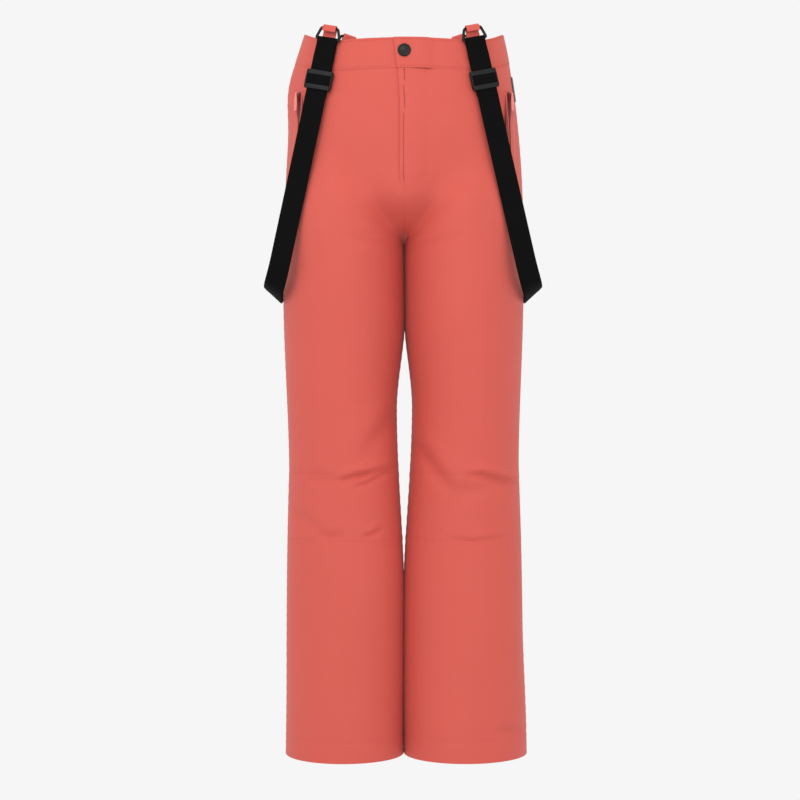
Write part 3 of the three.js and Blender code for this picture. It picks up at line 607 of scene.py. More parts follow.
def webbing_finish(name, colour):
    """Black webbing: ribs across it, a flat selvedge at both sides, and painted highlight on the rib
    crests with painted shade between them.
    """
    made, tree, shader = new_finish(name, Roughness=0.8, Specular_IOR_Level=0.06)
    weave, split = threads(tree, 0.0021, 0.0030)
    ribs = maths(tree, "SINE", product(tree, split.outputs[1], TAU / 0.0015))
    height = maths(tree, "ADD", product(tree, ribs, 0.7), product(tree, weave, 0.5))
    # Painted highlight and shade: the colour follows the ribs' height, lighter on the crests and darker
    # in the hollows.
    rib_highlight_and_shade = stretched(tree, height, 0.0, 1.0, -1.0, 1.2)
    base = blend_colour(tree, rib_highlight_and_shade, shaded(colour, 0.7), shaded(colour, 1.5))
    base = blend_colour(tree, product(tree, patchy(tree, 25.0), 0.35), base, shaded(colour, 1.7))
    tree.links.new(base, shader.inputs["Base Color"])
    bumped(tree, shader, height, 0.00012)
    return made


def ripstop_finish(name, colour):
    """Thin coated cloth with a square grid of thicker threads every 5 mm."""
    made, tree, shader = new_finish(name, Roughness=0.5, Coat_Weight=0.15, Coat_Roughness=0.4)
    height, split = threads(tree, 0.0006, 0.0006)
    lines = []
    for output in (split.outputs[0], split.outputs[1]):
        wave = maths(tree, "COSINE", product(tree, output, TAU / 0.005))
        lines.append(stretched(tree, wave, 0.0, 1.0, 0.93, 1.0))
    grid = maths(tree, "MAXIMUM", *lines)
    base = blend_colour(tree, grid, shaded(colour, 1.0), shaded(colour, 2.2))
    base = blend_colour(tree, product(tree, patchy(tree, 30.0), 0.3), base, shaded(colour, 1.8))
    tree.links.new(base, shader.inputs["Base Color"])
    bumped(tree, shader, maths(tree, "ADD", product(tree, height, 0.4), grid), 0.00006)
    return made


def hard_finish(name, colour, roughness, metallic=0.0, grain=600.0, gloss=0.5):
    """Moulded plastic or painted metal: fine grain, cloudy gloss and slightly uneven colour."""
    made, tree, shader = new_finish(name, Metallic=metallic, Specular_IOR_Level=gloss)
    base = blend_colour(tree, patchy(tree, 60.0), shaded(colour, 0.85), shaded(colour, 1.15))
    tree.links.new(base, shader.inputs["Base Color"])
    rough = stretched(tree, patchy(tree, 90.0), roughness - 0.08, roughness + 0.1)
    tree.links.new(rough, shader.inputs["Roughness"])
    bumped(tree, shader, patchy(tree, grain, 2.0), 0.00002, strength=0.6)
    return made


CORAL = (0.60, 0.0835, 0.060)
shell_cloth = cloth_finish("coral_shell", CORAL, 0.72, 0.00055, 0.00055, 0.00003)
turned_cloth = cloth_finish("coral_facing", shaded(CORAL, 0.92), 0.74, 0.00055, 0.00055, 0.00003)
SATIN = (0.46, 0.085, 0.068)
lining_cloth = cloth_finish("lining", SATIN, 0.48, 0.0004, 0.0004, 0.00002, sheen=0.3, cloud=14.0)
tape_cloth = cloth_finish("zip_tape", (0.20, 0.018, 0.022), 0.78, 0.0009, 0.0007, 0.00006, seam=0.3)
elastic_cloth = webbing_finish("elastic", (0.012, 0.012, 0.013))
strap_cloth = webbing_finish("brace_webbing", (0.0026, 0.0026, 0.0027))
gaiter_cloth = ripstop_finish("gaiter_cloth", (0.014, 0.014, 0.015))
label_cloth = cloth_finish("label_weave", (0.075, 0.082, 0.092), 0.7, 0.0005, 0.0009, 0.00005, seam=0.2)
thread = cloth_finish("thread", shaded(CORAL, 1.0), 0.6, 0.0004, 0.0007, 0.00004, seam=0.0)
dark_thread = cloth_finish("dark_thread", (0.02, 0.02, 0.02), 0.6, 0.0004, 0.0007, 0.00004, seam=0.0)
black_plastic = hard_finish("black_plastic", (0.0045, 0.0045, 0.0050), 0.45, gloss=0.25)
snap_finish = hard_finish("snap_enamel", (0.0055, 0.0068, 0.0060), 0.40, metallic=0.1, gloss=0.3)
zip_metal = hard_finish("zip_metal", (0.10, 0.10, 0.105), 0.38, metallic=0.9)
coil_finish = hard_finish("zip_coil", (0.13, 0.011, 0.015), 0.45)
red_enamel = hard_finish("red_enamel", (0.17, 0.012, 0.016), 0.38, metallic=0.3)
pull_finish = hard_finish("pull_rubber", (0.86, 0.20, 0.17), 0.48, grain=900.0)


# ---- Cloth pieces
ROLL = 0.0015
CLOSE = np.array([0, 0.0002, 0.0006, 0.0011, 0.0018])


def spaced(length, step, first=True, last=True):
    """Shares of a length, a step apart, with closer steps where an edge rolls in."""
    begin = CLOSE if first else np.array([0.0])
    end = length - CLOSE[::-1] if last else np.array([length])
    count = max(2, round((end[0] - begin[-1]) / step))
    return np.concatenate([begin, np.linspace(begin[-1], end[0], count + 1)[1:-1], end]) / length


def rolled(distance):
    """0 at an edge and 1 past the roll, along a quarter circle."""
    return np.sqrt(1 - (1 - clamp(distance / ROLL)) ** 2)


def rolled_ends(share, length):
    """The roll at both ends of a length."""
    return rolled(np.minimum(share, 1 - share) * length)


def cloth(side, u, z, edge, outer, thickness, hang=1.0, ripple=0.0):
    """A closed slab of cloth over grids u and z: its outer face stands outer off the body surface plus
    the drape, its inner face a thickness further in, and both come together where edge falls to 0."""
    normal = outward(u, z)
    base = wrapped(u, z)
    stand = outer + hang * drape(side, u, z) + ripple
    closed = (1 - edge) * thickness
    shifts = 0.10 * closed, thickness - 0.82 * closed
    faces = [base + normal * (stand - shift)[..., None] for shift in shifts]
    return mirrored(slab(*faces, u * PANEL_ROUND, z, 1 - edge), side)


THIGH_ROWS, HIP_ROWS, CROTCH_ROWS = 0.250, 0.190, 0.020  # lengths that set how many rows there are


def leg_levels():
    """Rows from the knee panel's top edge (-1) past the crotch (0) to the band (1), closer just above
    the crotch, where the surface turns quickest."""
    step, rest = 0.0028, HIP_ROWS - CROTCH_ROWS
    low = spaced(THIGH_ROWS, step, last=False) - 1
    crotch = CROTCH_ROWS / HIP_ROWS * np.linspace(0, 1, 10)[1:-1] ** 2
    high = spaced(rest, step, first=False) * rest / HIP_ROWS + CROTCH_ROWS / HIP_ROWS
    return np.concatenate([low, crotch, high])


def upper_height(u, level):
    """A level's height at u."""
    down = mix(CROTCH, knee_edge(u, 1), -level)
    up = mix(CROTCH, band_bottom(u), level)
    return np.where(level < 0, down, up)


def upper_edge(level):
    """The roll at the knee seam and at the band."""
    return rolled(np.minimum((level + 1) * THIGH_ROWS, (1 - level) * HIP_ROWS))


SEAM = -0.00005


def slot_half(z):
    """Half the fly's opening: closed below the lap, and 4.8 mm where the lowered slider's pull hangs."""
    return mix(SEAM, 0.0048, between(z, 0.641, 0.659))


def upper_panel(side, front, outer, thickness, step=0.0028):
    """A front or back panel, from the knee seam to the band. Above the fly's bottom the front panel's
    middle edge steps back for the zip."""
    level = leg_levels()[:, None]
    share = spaced(0.210, step)[None]
    if front:
        start = from_middle(slot_half(upper_height(0.0, level)))
        u = mix(start, 0.5 - from_middle(SEAM), share)
    else:
        u = mix(0.5 + from_middle(SEAM), 1 - from_middle(SEAM), share) + 0 * level
    z = upper_height(u, level)
    edge = upper_edge(level) * rolled_ends(share, 0.210)
    return cloth(side, u, z, edge, outer, thickness)


def rows_panel(side, u_range, low, high, outer, thickness, step=0.0028, height=0.2, taper=None,
               ripple=None, ends=True):
    """A piece of cloth between two edges, each a formula of u. taper turns the outer distance into one
    that changes from the low edge to the high one."""
    width = PANEL_ROUND * (u_range[1] - u_range[0])
    share = spaced(width, step, ends, ends)[None]
    up = spaced(height, step)[:, None]
    u = mix(u_range[0], u_range[1], share) + 0 * up
    z = mix(low(u), high(u), up)
    edge = rolled_ends(up, height)
    if ends:
        edge = edge * rolled_ends(share, width)
    else:
        edge = edge + 0 * share
    stand = outer if taper is None else mix(taper[0], taper[1], up)
    extra = 0.0 if ripple is None else ripple(u, z)
    return cloth(side, u, z, edge, stand, thickness, ripple=extra)


def flat_at(z):
    """An edge at one height all round."""
    return lambda u: z + 0 * u


def shin_top(u):
    """The upper edge of the cloth below the knee panel."""
    return knee_edge(u, -1) - SEAM


def shell_pieces(name, side):
    """The six outer panels of one leg, each in its insulated cloth."""
    bend = "knee_" + name
    seam = from_middle(SEAM)
    halves = {"front": (seam, 0.5 - seam), "back": (0.5 + seam, 1 - seam)}
    low_edge, high_edge = (lambda u: knee_edge(u, -1) + SEAM), (lambda u: knee_edge(u, 1) - SEAM)
    for half, u_range in halves.items():
        upper = upper_panel(side, half == "front", 0.0, SHELL)
        knee = rows_panel(side, u_range, low_edge, high_edge, 0.0, SHELL, step=0.0022, height=0.1)
        shin = rows_panel(side, u_range, flat_at(0.0), shin_top, 0.0, SHELL, height=0.25)
        panels = ("thigh", upper, ""), ("knee", knee, "knee_panel_"), ("shin", shin, "shin_panel_")
        for kind, shape, start in panels:
            node = f"{start}{half}_{name}" if start else f"{half}_panel_{name}"
            piece = single(f"{kind}_{half}_{name}", shape, shell_cloth, bend, "shell_cloth", node)


def lining_pieces(name, side):
    """The lining of the seat and leg, the pocket bag, and the hem's turned-up facing."""
    bend = "knee_" + name
    level = leg_levels()[::2, None]
    level[-1] = 1.0
    share = spaced(PANEL_ROUND, 0.0050)[None]
    u = mix(from_middle(SEAM), 1 - from_middle(SEAM), share) + 0 * level
    edge = upper_edge(level) * rolled_ends(share, PANEL_ROUND)
    shape = cloth(side, u, upper_height(u, level), edge, LINING_FACE, LINING)
    single(f"seat_lining_{name}", shape, lining_cloth, bend, "lining_cloth", f"lining_{name}")
    around = (from_middle(SEAM), 1 - from_middle(SEAM))
    shape = rows_panel(
        side, around, flat_at(0.015), shin_top, LINING_FACE, LINING, step=0.0048, height=0.235)
    single(f"leg_lining_{name}", shape, lining_cloth, bend, "lining_cloth", f"shin_lining_{name}")
    rows = [lambda u, s=s: mix(CROTCH, band_bottom(u), s) for s in (0.10, 0.78)]
    shape = rows_panel(side, (0.253, 0.497), *rows, -0.0026, 0.0016, step=0.005, height=0.125)
    single(f"pocket_pouch_{name}", shape, lining_cloth, "trousers", "lining_cloth", f"pocket_bag_{name}")
    shape = rows_panel(
        side, around, flat_at(0.0), flat_at(0.030), -0.0026, 0.0028, step=0.0030, height=0.030)
    shin = "shin_" + name
    single(f"hem_turn_up_{name}", shape, turned_cloth, shin, "shell_cloth", f"hem_facing_{name}")


def gaiter_pieces(name, side):
    """The snow gaiter hangs inside the hem, gathered into its elastic, with a lace hook in front."""
    around = (0.0, 0.9999)
    body = "shin_" + name

    def gathers(u, z):
        """Pleats that deepen towards the elastic."""
        deep = 0.0011 * (1 - between(z, 0.028, 0.110))
        return deep * (np.sin(TAU * 34 * u) + 0.4 * np.sin(TAU * 13 * u + 1.0))

    shape = rows_panel(
        side, around, flat_at(0.0285), flat_at(0.1396), 0, LINING, step=0.0026, height=0.111,
        taper=(-0.0190, -0.0074), ripple=gathers, ends=False)
    single(f"snow_gaiter_{name}", shape, gaiter_cloth, body, "gaiter_cloth", f"gaiter_{name}")

    def band_ripple(u, z):
        """The elastic's own small waves."""
        return 0.0004 * np.sin(TAU * 34 * u)

    shape = rows_panel(
        side, around, flat_at(0.018), flat_at(0.028), -0.0190, 0.002, step=0.0024, height=0.010,
        ripple=band_ripple, ends=False)
    single(f"gaiter_band_{name}", shape, elastic_cloth, body, "webbing", f"gaiter_elastic_{name}")
    low, high = (np.array(corner) + (0, 0, WAIST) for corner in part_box(f"gaiter_hook_{name}"))
    middle = (low + high) / 2
    t = np.linspace(0, 1, 25)[:, None]
    bend_t = clamp((t - 0.55) / 0.45)
    bow = -0.0006 + 0.0012 * np.sin(math.pi * bend_t)
    drop = 0.0065 - 0.0130 * np.sin(t * math.pi * 0.5)
    path = middle + np.concatenate([0 * t, bow, drop], axis=1)
    across = np.broadcast_to((1.0, 0, 0), path.shape)
    out = unit(np.cross(across, np.gradient(path, axis=0)))
    narrowed = 0.55 + 0.45 * np.cos(t[:, 0] * 2.2) ** 2
    hook = tube(path, across, out, stadium(0.0040, 0.0005), scale=narrowed)
    single(f"lace_hook_{name}", hook, zip_metal, body, "zip_metal", f"gaiter_hook_{name}")


def stadium(half_width_across, half_thickness, top=9, turn=5):
    """A flat section with round ends."""
    reach = half_width_across - half_thickness
    x = np.linspace(-reach, reach, top)
    angle = np.linspace(math.pi / 2, -math.pi / 2, turn + 2)[1:-1]
    right = np.stack([reach + half_thickness * np.cos(angle), half_thickness * np.sin(angle)], axis=1)
    upper = np.stack([x, np.full(top, half_thickness)], axis=1)
    return np.concatenate([upper, right, -upper, -right])


# ---- Waistband and fly
def tab_lift(u):
    """The left band's end stands over the right one's underlap."""
    return 0.0027 * (1 - between(u, from_middle(0.027), from_middle(0.041)))


def band(side, start, end, outer, thickness, tilt=None, ripple=None, step=0.0026):
    """A length of waistband from the band seam to the rim, rolled along its edges. tilt moves its start
    along the rim from low edge to high edge."""
    width = PANEL_ROUND * (end - start)
    share = spaced(width, step)[None]
    up = spaced(BAND, 0.0022)[:, None]
    first = start if tilt is None else mix(tilt[0], tilt[1], up)
    u = mix(first, end, share) + 0 * up
    folded = np.where(u > 1, 2 - u, u)
    z = mix(band_bottom(folded) + SEAM, rim(folded), up)
    edge = rolled_ends(up, BAND) * rolled_ends(share, width)
    crown = 0.0003 * np.sin(math.pi * up) ** 0.5
    stitched = 0.0002 * (bell((up - 0.07) / 0.03) + bell((up - 0.93) / 0.03))
    gathered = 0.0 if ripple is None else ripple(folded, z)
    extra = crown + gathered + swell(np.where(u > 1, -side, side), folded, z) - stitched
    stand = outer(u) if callable(outer) else outer
    return cloth(side, u, z, edge, stand, thickness, hang=0.0, ripple=extra)


def elastic_gathers(u, z):
    """Upright gathers behind, where the elastic draws the band in."""
    gathered = between(np.minimum(u, 2 - u), 0.55, 0.64)
    return 0.0008 * gathered * (np.sin(TAU * u * 27 + 0.8 * np.sin(u * 40)) - 0.3)


def waistband_pieces():
    """The band's two fronts, its gathered back and the elastic behind that."""
    right = band(-1, -from_middle(0.020), 0.5 - from_middle(SEAM), 0.0, SHELL)
    piece = build("band_front_right", [(right, 0)], [shell_cloth])
    place(piece, "trousers", "shell_cloth", "waistband_front_right")
    tilt = (-from_middle(0.0095), -from_middle(0.0148))
    left = band(1, -from_middle(0.012), 0.5 - from_middle(SEAM), tab_lift, SHELL, tilt=tilt)
    piece = build("band_front_left", [(left, 0)], [shell_cloth])
    place(piece, "fly_bend", "shell_cloth", "waistband_front_left", "waistband_tab")
    back = band(1, 0.5 + from_middle(SEAM), 1.5 - from_middle(SEAM), 0.0, SHELL, ripple=elastic_gathers)
    piece = build("band_back", [(back, 0)], [shell_cloth])
    place(piece, "trousers", "shell_cloth", "waistband_back")

    def inner(u, z):
        """The outer band's gathers, which the elastic follows."""
        return elastic_gathers(np.where(u > 1, 2 - u, u), z)

    rows = [lambda u, rise=rise: band_bottom(u) + rise for rise in (0.005, 0.030)]
    strip = rows_panel(
        1, (0.56, 1.44), *rows, -0.0034, 0.0014, step=0.0024, height=0.025, ripple=inner)
    single("band_elastic", strip, elastic_cloth, "trousers", "webbing", "waistband_elastic")


def fly_edge(z):
    """How far the lapped edge reaches past the middle at a height."""
    return 0.0020 + 0.0038 * between(z, 0.640, 0.662) + 0.0024 * between(z, 0.735, 0.786)


FLY_LOW, FLY_TOP = 0.640, 0.785
FLY_ZIP_TOP, FLY_ZIP_LENGTH, FLY_SLIDER_AT = 0.783, 0.108, 0.103
TAPE_DEPTH, TEETH_DEPTH = 0.0042, 0.0034


def fly_pieces():
    """The lapped front edge, the shield behind the zip, and the zip itself."""
    up = spaced(FLY_TOP - FLY_LOW, 0.0024)[:, None]
    z = mix(FLY_LOW, band_bottom(0.0) - SEAM, up)
    share = spaced(0.046, 0.0014)[None]
    reach = mix(-fly_edge(z), 0.0385, share)
    u = from_middle(reach)
    z = z + 0 * u
    lift = 0.0026 * (1 - between(reach, 0.006, 0.036)) * between(z, 0.642, 0.675) - 0.0004
    edge = rolled_ends(up, 0.145) * rolled(share * 0.046)
    edge = np.where(lift < 0, 1.0, edge)
    flap = cloth(1, u, z, edge, lift, 0.0015)
    piece = build("fly_lap", [(flap, 0)], [shell_cloth])
    place(piece, "fly_bend", "shell_cloth", "fly_flap")
    shield_rows = [flat_at(mix(CROTCH, FLY_TOP, 0.37)), flat_at(FLY_ZIP_TOP)]
    shield = rows_panel(-1, (-1 / 16, 1 / 16), *shield_rows, -0.0070, 0.0012, step=0.0026, height=0.115)
    single("fly_shield", shield, turned_cloth, "trousers", "shell_cloth", "fly_underlap")
    heights = FLY_ZIP_TOP, FLY_ZIP_TOP - FLY_ZIP_LENGTH
    top, low = (surface(0.0, height) * (0, 1, 1) for height in heights)
    way = unit(top - low)
    across = np.array([1.0, 0, 0])
    out = np.cross(across, way)
    for name, side in SIDES.items():
        tape = zip_tape(low - out * TAPE_DEPTH, across * side, way, out, 0.0002, 0.0112, FLY_ZIP_LENGTH)
        teeth = zip_teeth(low - out * TEETH_DEPTH, across * side, way, out, FLY_ZIP_LENGTH)
        piece = build(f"fly_tape_{name}", [(tape, 0), (teeth, 1)], [tape_cloth, coil_finish])
        place(piece, "trousers", "zip_tape", f"fly_zip_tape_{name}")
    coil_face = low - out * (TAPE_DEPTH - 0.0015)
    head = slider_shape(coil_face + way * FLY_SLIDER_AT + out * 0.0004, across, way, out)
    single("fly_slider_body", head, zip_metal, "fly_slider", "zip_metal", "fly_slider")
    pull_middle = coil_face + way * (FLY_SLIDER_AT - HALF_SLIDER - PULL_GAP - HALF_PULL) + out * 0.0006
    pull = pull_shape(pull_middle, across, way, out)
    single("fly_pull", pull, pull_finish, "fly_slider", "puller", "fly_puller")


def zip_tape(start, across, way, out, near, far, length):
    """A woven tape beside the teeth, a little thicker at its outer edge."""
    share = spaced(far - near, 0.0012)[None]
    along = spaced(length, 0.003)[:, None]
    x, y = mix(near, far, share) + 0 * along, length * along + 0 * share
    edge = rolled_ends(share, far - near) * rolled_ends(along, length)
    thick = 0.0007 + 0.0001 * between(share, 0.8, 1.0) + 0 * along
    base = start + x[..., None] * across + y[..., None] * way
    pinch = (1 - edge) * thick * 0.4
    return slab(base + out * (thick - pinch)[..., None], base + out * pinch[..., None], x, y, 1 - edge)


def zip_teeth(start, across, way, out, length, pitch=0.0013):
    """Coil teeth: short bars across the tape's inner edge, one every pitch."""
    y = np.arange(pitch, length - pitch / 2, pitch)
    centre = start + y[:, None] * way + across * 0.0008 + out * 0.00025
    shape = np.ones((len(y), 1))
    return small_runs(centre, shape * across, shape * out, 0.0015, 0.0009, 0.0009, sink=0.2)


HALF_SLIDER, HALF_PULL, PULL_GAP = 0.005, 0.011, 0.0004


def slider_shape(seat, across, way, out):
    """A zip slider: a body pinched at its low end, with a bridge standing on it."""
    t = np.linspace(0, 1, 15)
    half = HALF_SLIDER
    path = seat + (half * (2 * t - 1))[:, None] * way + out * 0.0008
    width = 0.0028 + 0.0012 * smooth(t * 1.4) - 0.0012 * clamp((t - 0.9) / 0.1) ** 2
    body = tube(path, across, out, stadium(1.0, 0.20), scale=width)
    arc = np.linspace(0, math.pi, 13)
    back_along = -(0.0028 * np.cos(arc))[:, None] * way
    bridge_path = seat + back_along + (0.0010 + 0.0009 * np.sin(arc))[:, None] * out
    bridge_out = unit(back_along + (0.0012 * np.sin(arc) + 0.0004)[:, None] * out)
    bridge = tube(bridge_path, across, bridge_out, stadium(0.0012, 0.0003))
    return merged(body, bridge)


def pull_shape(middle, across, way, out):
    """A moulded pull: narrow at the slider, wider and ridged below, with a hole near its top."""
    t = np.linspace(0, 1, 45)
    path = middle + (HALF_PULL * (1 - 2 * t))[:, None] * way + out * 0.0006
    width = 0.0017 + 0.0013 * smooth((t - 0.12) / 0.25)
    width = width * np.sqrt(1 - clamp((t - 0.93) / 0.075) ** 2 * 0.9)
    width = width * np.sqrt(1 - clamp((0.05 - t) / 0.055) ** 2 * 0.8)
    ridges = 1 + 0.22 * smooth((t - 0.35) / 0.1) * smooth((0.9 - t) / 0.1) * np.cos(TAU * t * 11)
    section = stadium(1.0, 0.18)
    stretch = np.stack([width, 0.0030 * ridges], axis=1)
    rings = (path[:, None]
             + across * (section[None, :, :1] * stretch[:, None, :1])
             + out * (section[None, :, 1:] * stretch[:, None, 1:]))
    return skin(capped(rings, path))


def merged(*shapes):
    """Several shapes as one."""
    starts = np.cumsum([0] + [len(s[0]) for s in shapes])
    return (
        np.concatenate([s[0] for s in shapes]),
        np.concatenate([s[1] + start for s, start in zip(shapes, starts)]),
        np.concatenate([s[2] for s in shapes]),
        np.concatenate([s[3] for s in shapes]),
    )


def snap_pieces():
    """The snap: a dished cap with a rolled rim, and the stud under it."""
    height = mix(RIM_FRONT - BAND, RIM_FRONT, 0.56)
    seat = surface(0.0, height) * (0, 1, 1)
    out = outward(0.0, height) * (0, 1, 1)
    low = 0.0029
    mm = 0.001
    cap = [(0, 0), (6.6, 0), (7.2, 0.25), (7.45, 0.9), (7.2, 1.6), (6.6, 2.05), (6.0, 2.2), (5.5, 2.1),
           (5.15, 1.85), (4.9, 1.7), (4.6, 1.68), (3.6, 1.95), (2.2, 2.25), (1.0, 2.4), (0, 2.42)]
    shape = turned_shape([(r * mm, low + h * mm) for r, h in cap], seat, out)
    single("snap_button", shape, snap_finish, "fly_flap", "snap_metal", "snap_cap")
    stud = [(0, 0.4), (3.6, 0.4), (4.0, 0.7), (4.0, 1.2), (3.3, 1.5), (2.6, 1.6), (2.4, 1.9), (2.7, 2.1),
            (2.3, 2.3), (0, 2.35)]
    shape = turned_shape([(r * mm, h * mm) for r, h in stud], seat, out, sides=32)
    single("snap_post", shape, snap_finish, "trousers", "snap_metal", "snap_stud")


# ---- Pockets
POCKET_U, POCKET_TOP, POCKET_LENGTH, TAPE_HALF = 6 / 16, 0.768, 0.128, 0.00825
LIP_WIDTH = 0.018


def pocket_frame():
    """The straight pocket zip's own frame on the left: its low end, and the ways across, up and out. It
    stands just clear of the cloth where the cloth bulges most under it."""
    top, low = surface(POCKET_U, POCKET_TOP), surface(POCKET_U, POCKET_TOP - POCKET_LENGTH)
    way = unit(top - low)
    rough_out = outward(POCKET_U, POCKET_TOP - POCKET_LENGTH / 2)
    across = unit(np.cross(way, rough_out))
    out = np.cross(across, way)
    shifts = np.array([-1, 0, 1])[:, None] * from_middle(TAPE_HALF)
    heights = mix(low[2], top[2], np.linspace(0, 1, 21))[None]
    bulge = ((surface(POCKET_U + shifts, heights) - low) @ out).max()
    return low + out * (max(0, bulge) + 0.0004), across, way, out


def pocket_pieces(name, side):
    """A coil zip between two stuffed lips that rise out of the cloth, a slider and a pull."""
    low, across, way, out = pocket_frame()
    tape = zip_tape(low, across, way, out, -TAPE_HALF, TAPE_HALF, POCKET_LENGTH)
    coil_seat = low + out * 0.0006
    teeth = merged(*(zip_teeth(coil_seat, across * hand, way, out, POCKET_LENGTH) for hand in (-1, 1)))
    parts = [(mirrored(tape, side), 0), (mirrored(teeth, side), 1)]
    piece = build(f"pocket_tape_{name}", parts, [tape_cloth, coil_finish])
    place(piece, "trousers", "zip_tape", f"pocket_zip_{name}")
    lips = []
    for hand in (-1, 1):
        along = spaced(POCKET_LENGTH + 0.012, 0.003)[:, None]
        share = spaced(LIP_WIDTH, 0.0009)[None]
        y = mix(-0.006, POCKET_LENGTH + 0.006, along)
        sunk = smooth(np.minimum(along, 1 - along) / 0.05)
        opened = between(y, POCKET_LENGTH - 0.036, POCKET_LENGTH - 0.022)
        opened = opened * (1 - between(y, POCKET_LENGTH, POCKET_LENGTH + 0.006))
        near = low + across * (hand * mix(0.0016, 0.0047, opened))[..., None]
        near = near + way * y[..., None] + out * (0.0023 * sunk - 0.0012)[..., None]
        u = POCKET_U + hand * from_middle(0.0205)
        z = low[2] + y * way[2]
        far = surface(u, z) - outward(u, z) * 0.0009
        swollen = smooth(share / 0.3) * (1 - smooth((share - 0.3) / 0.7))
        crown = (0.0011 * swollen * sunk)[..., None] * out
        top_face = mix(near, far, share[..., None]) + crown
        edge = rolled(share * LIP_WIDTH) * rolled_ends(along, 0.140)
        bottom = top_face - out * (0.0004 + 0.0009 * edge)[..., None]
        top_face = top_face - out * (0.0003 * (1 - edge))[..., None]
        pattern = hand * share * LIP_WIDTH + 0 * along, y + 0 * share
        lips.append(mirrored(slab(top_face, bottom, *pattern, 0.5 * (1 - edge)), side))
    piece = build(f"pocket_lips_{name}", [(lip, 0) for lip in lips], [shell_cloth])
    place(piece, "trousers", "shell_cloth")
    seat = low + way * (POCKET_LENGTH - 0.006) + out * 0.0019
    head = mirrored(slider_shape(seat, across, way, out), side)
    slider, puller = f"pocket_slider_{name}", f"pocket_puller_{name}"
    single(f"pocket_runner_{name}", head, red_enamel, slider, "zip_metal", slider)
    middle = low + way * (POCKET_LENGTH - 0.001 - 0.011) + out * (0.0019 + 0.0022 + 0.0007)
    pull = mirrored(pull_shape(middle, across, way, out), side)
    single(f"pocket_pull_{name}", pull, pull_finish, puller, "puller", puller)


# ---- Braces
RING_LENGTH, RING_BAR, RING_WIDTH = 0.013, 0.0026, 0.031
STRAP, STRAP_WIDTH = 0.0011, 0.025
BAR_GAP, STRAP_REST = 0.0004, 0.00062  # off the ring's bar, and between the two runs lying together
ADJUSTER_DROP = 0.060
FRONT_TOP = {"right": (0.084, -0.066638, 0.833333), "left": (0.077, -0.070198, 0.833333)}
FRONT_END = {"right": (0.139, -0.067815, 0.575), "left": (0.1362, -0.0693, 0.575)}
UNDER_HIP = {"right": (0.153, 0.0, 0.534), "left": (0.1505, 0.0, 0.534)}
BACK_TOP = (0.066, 0.074151, 0.849776)
BACK_END = {"right": (0.147, 0.081731, 0.575), "left": (0.1445, 0.081731, 0.575)}
FRONT_OUT = np.array([math.sin(math.radians(16)), -math.cos(math.radians(16)), 0])
BACK_OUT = FRONT_OUT * (1, -1, 1)


def curve(a, a_way, b, b_way, count):
    """A smooth curve from a to b that leaves and arrives along the given ways, 40 mm of each."""
    t = np.linspace(0, 1, count)[:, None]
    p, q, r, s = a, a + 0.040 * a_way, b - 0.040 * b_way, b
    return (1 - t) ** 3 * p + 3 * t * (1 - t) ** 2 * q + 3 * t ** 2 * (1 - t) * r + t ** 3 * s


def run_across(out, down):
    """Square to a run and to its face, pointing away from the middle."""
    width = np.cross(out, down)
    return unit(width if width[0] > 0 else -width)


def ring_turn(top, down, out, first, count=15):
    """Round the ring's lower bar from the first side to the other: a half circle over the bar's top."""
    angle = np.linspace(0, math.pi, count)
    radius = RING_BAR / 2 + BAR_GAP + STRAP / 2
    side = first * np.cos(angle)
    return top + (RING_LENGTH - radius * np.sin(angle))[:, None] * down + out * (radius * side)[:, None]


def strap_path(name):
    """The webbing's middle line. It starts behind the front run, goes up and over the ring's lower bar,
    down in front, round under the hip to the back, up to the back ring, over its bar and a little
    down."""
    top, end = np.array(FRONT_TOP[name]), np.array(FRONT_END[name])
    back_top, back_end = np.array(BACK_TOP), np.array(BACK_END[name])
    down, back_down = unit(end - top), unit(back_end - back_top)
    across, back_across = run_across(FRONT_OUT, down), run_across(BACK_OUT, back_down)
    lap = RING_BAR / 2 + BAR_GAP + STRAP / 2
    settle = lambda d, far: mix(lap, far, between(d, RING_LENGTH, RING_LENGTH + 0.012))
    short = np.linspace(0.078, RING_LENGTH, 26)
    first = top + short[:, None] * down - FRONT_OUT * settle(short, STRAP_REST)[:, None]
    turn = ring_turn(top, down, FRONT_OUT, -1)[1:]
    length = np.linalg.norm(end - top)
    longer = np.linspace(RING_LENGTH, length, 90)[1:]
    stand = settle(longer, STRAP_REST) * (1 - between(longer, 0.080, 0.100))
    second = top + longer[:, None] * down + FRONT_OUT * stand[:, None]
    roll = np.array(UNDER_HIP[name])
    rearwards = np.array([0, 1.0, 0])
    roll_across = np.array([math.cos(math.radians(43)), 0, math.sin(math.radians(43))])
    lower = curve(end, down, roll, rearwards, 30)[1:]
    upper = curve(roll, rearwards, back_end, -back_down, 30)[1:]
    back_length = np.linalg.norm(back_end - back_top)
    rise = np.linspace(back_length, RING_LENGTH, 80)[1:]
    back_stand = settle(rise, STRAP_REST) * (1 - between(rise, 0.045, 0.060))
    third = back_top + rise[:, None] * back_down + BACK_OUT * back_stand[:, None]
    back_turn = ring_turn(back_top, back_down, BACK_OUT, 1)[1:]
    tail = np.linspace(RING_LENGTH, 0.042, 14)[1:]
    last = back_top + tail[:, None] * back_down - BACK_OUT * settle(tail, STRAP_REST)[:, None]
    path = np.concatenate([first, turn, second, lower, upper, third, back_turn, last])
    sizes = [len(first) + len(turn) + len(second), len(lower), len(upper),
             len(third) + len(back_turn) + len(last)]
    ramp = [smooth(np.linspace(0, 1, n + 1)[1:])[:, None] for n in sizes[1:3]]
    sideways = np.concatenate([
        np.tile(across, (sizes[0], 1)), mix(across, roll_across, ramp[0]),
        mix(roll_across, back_across, ramp[1]), np.tile(back_across, (sizes[3], 1))])
    way = unit(np.gradient(path, axis=0))
    sideways = unit(sideways - way * (sideways * way).sum(axis=1, keepdims=True))
    return path, way, sideways


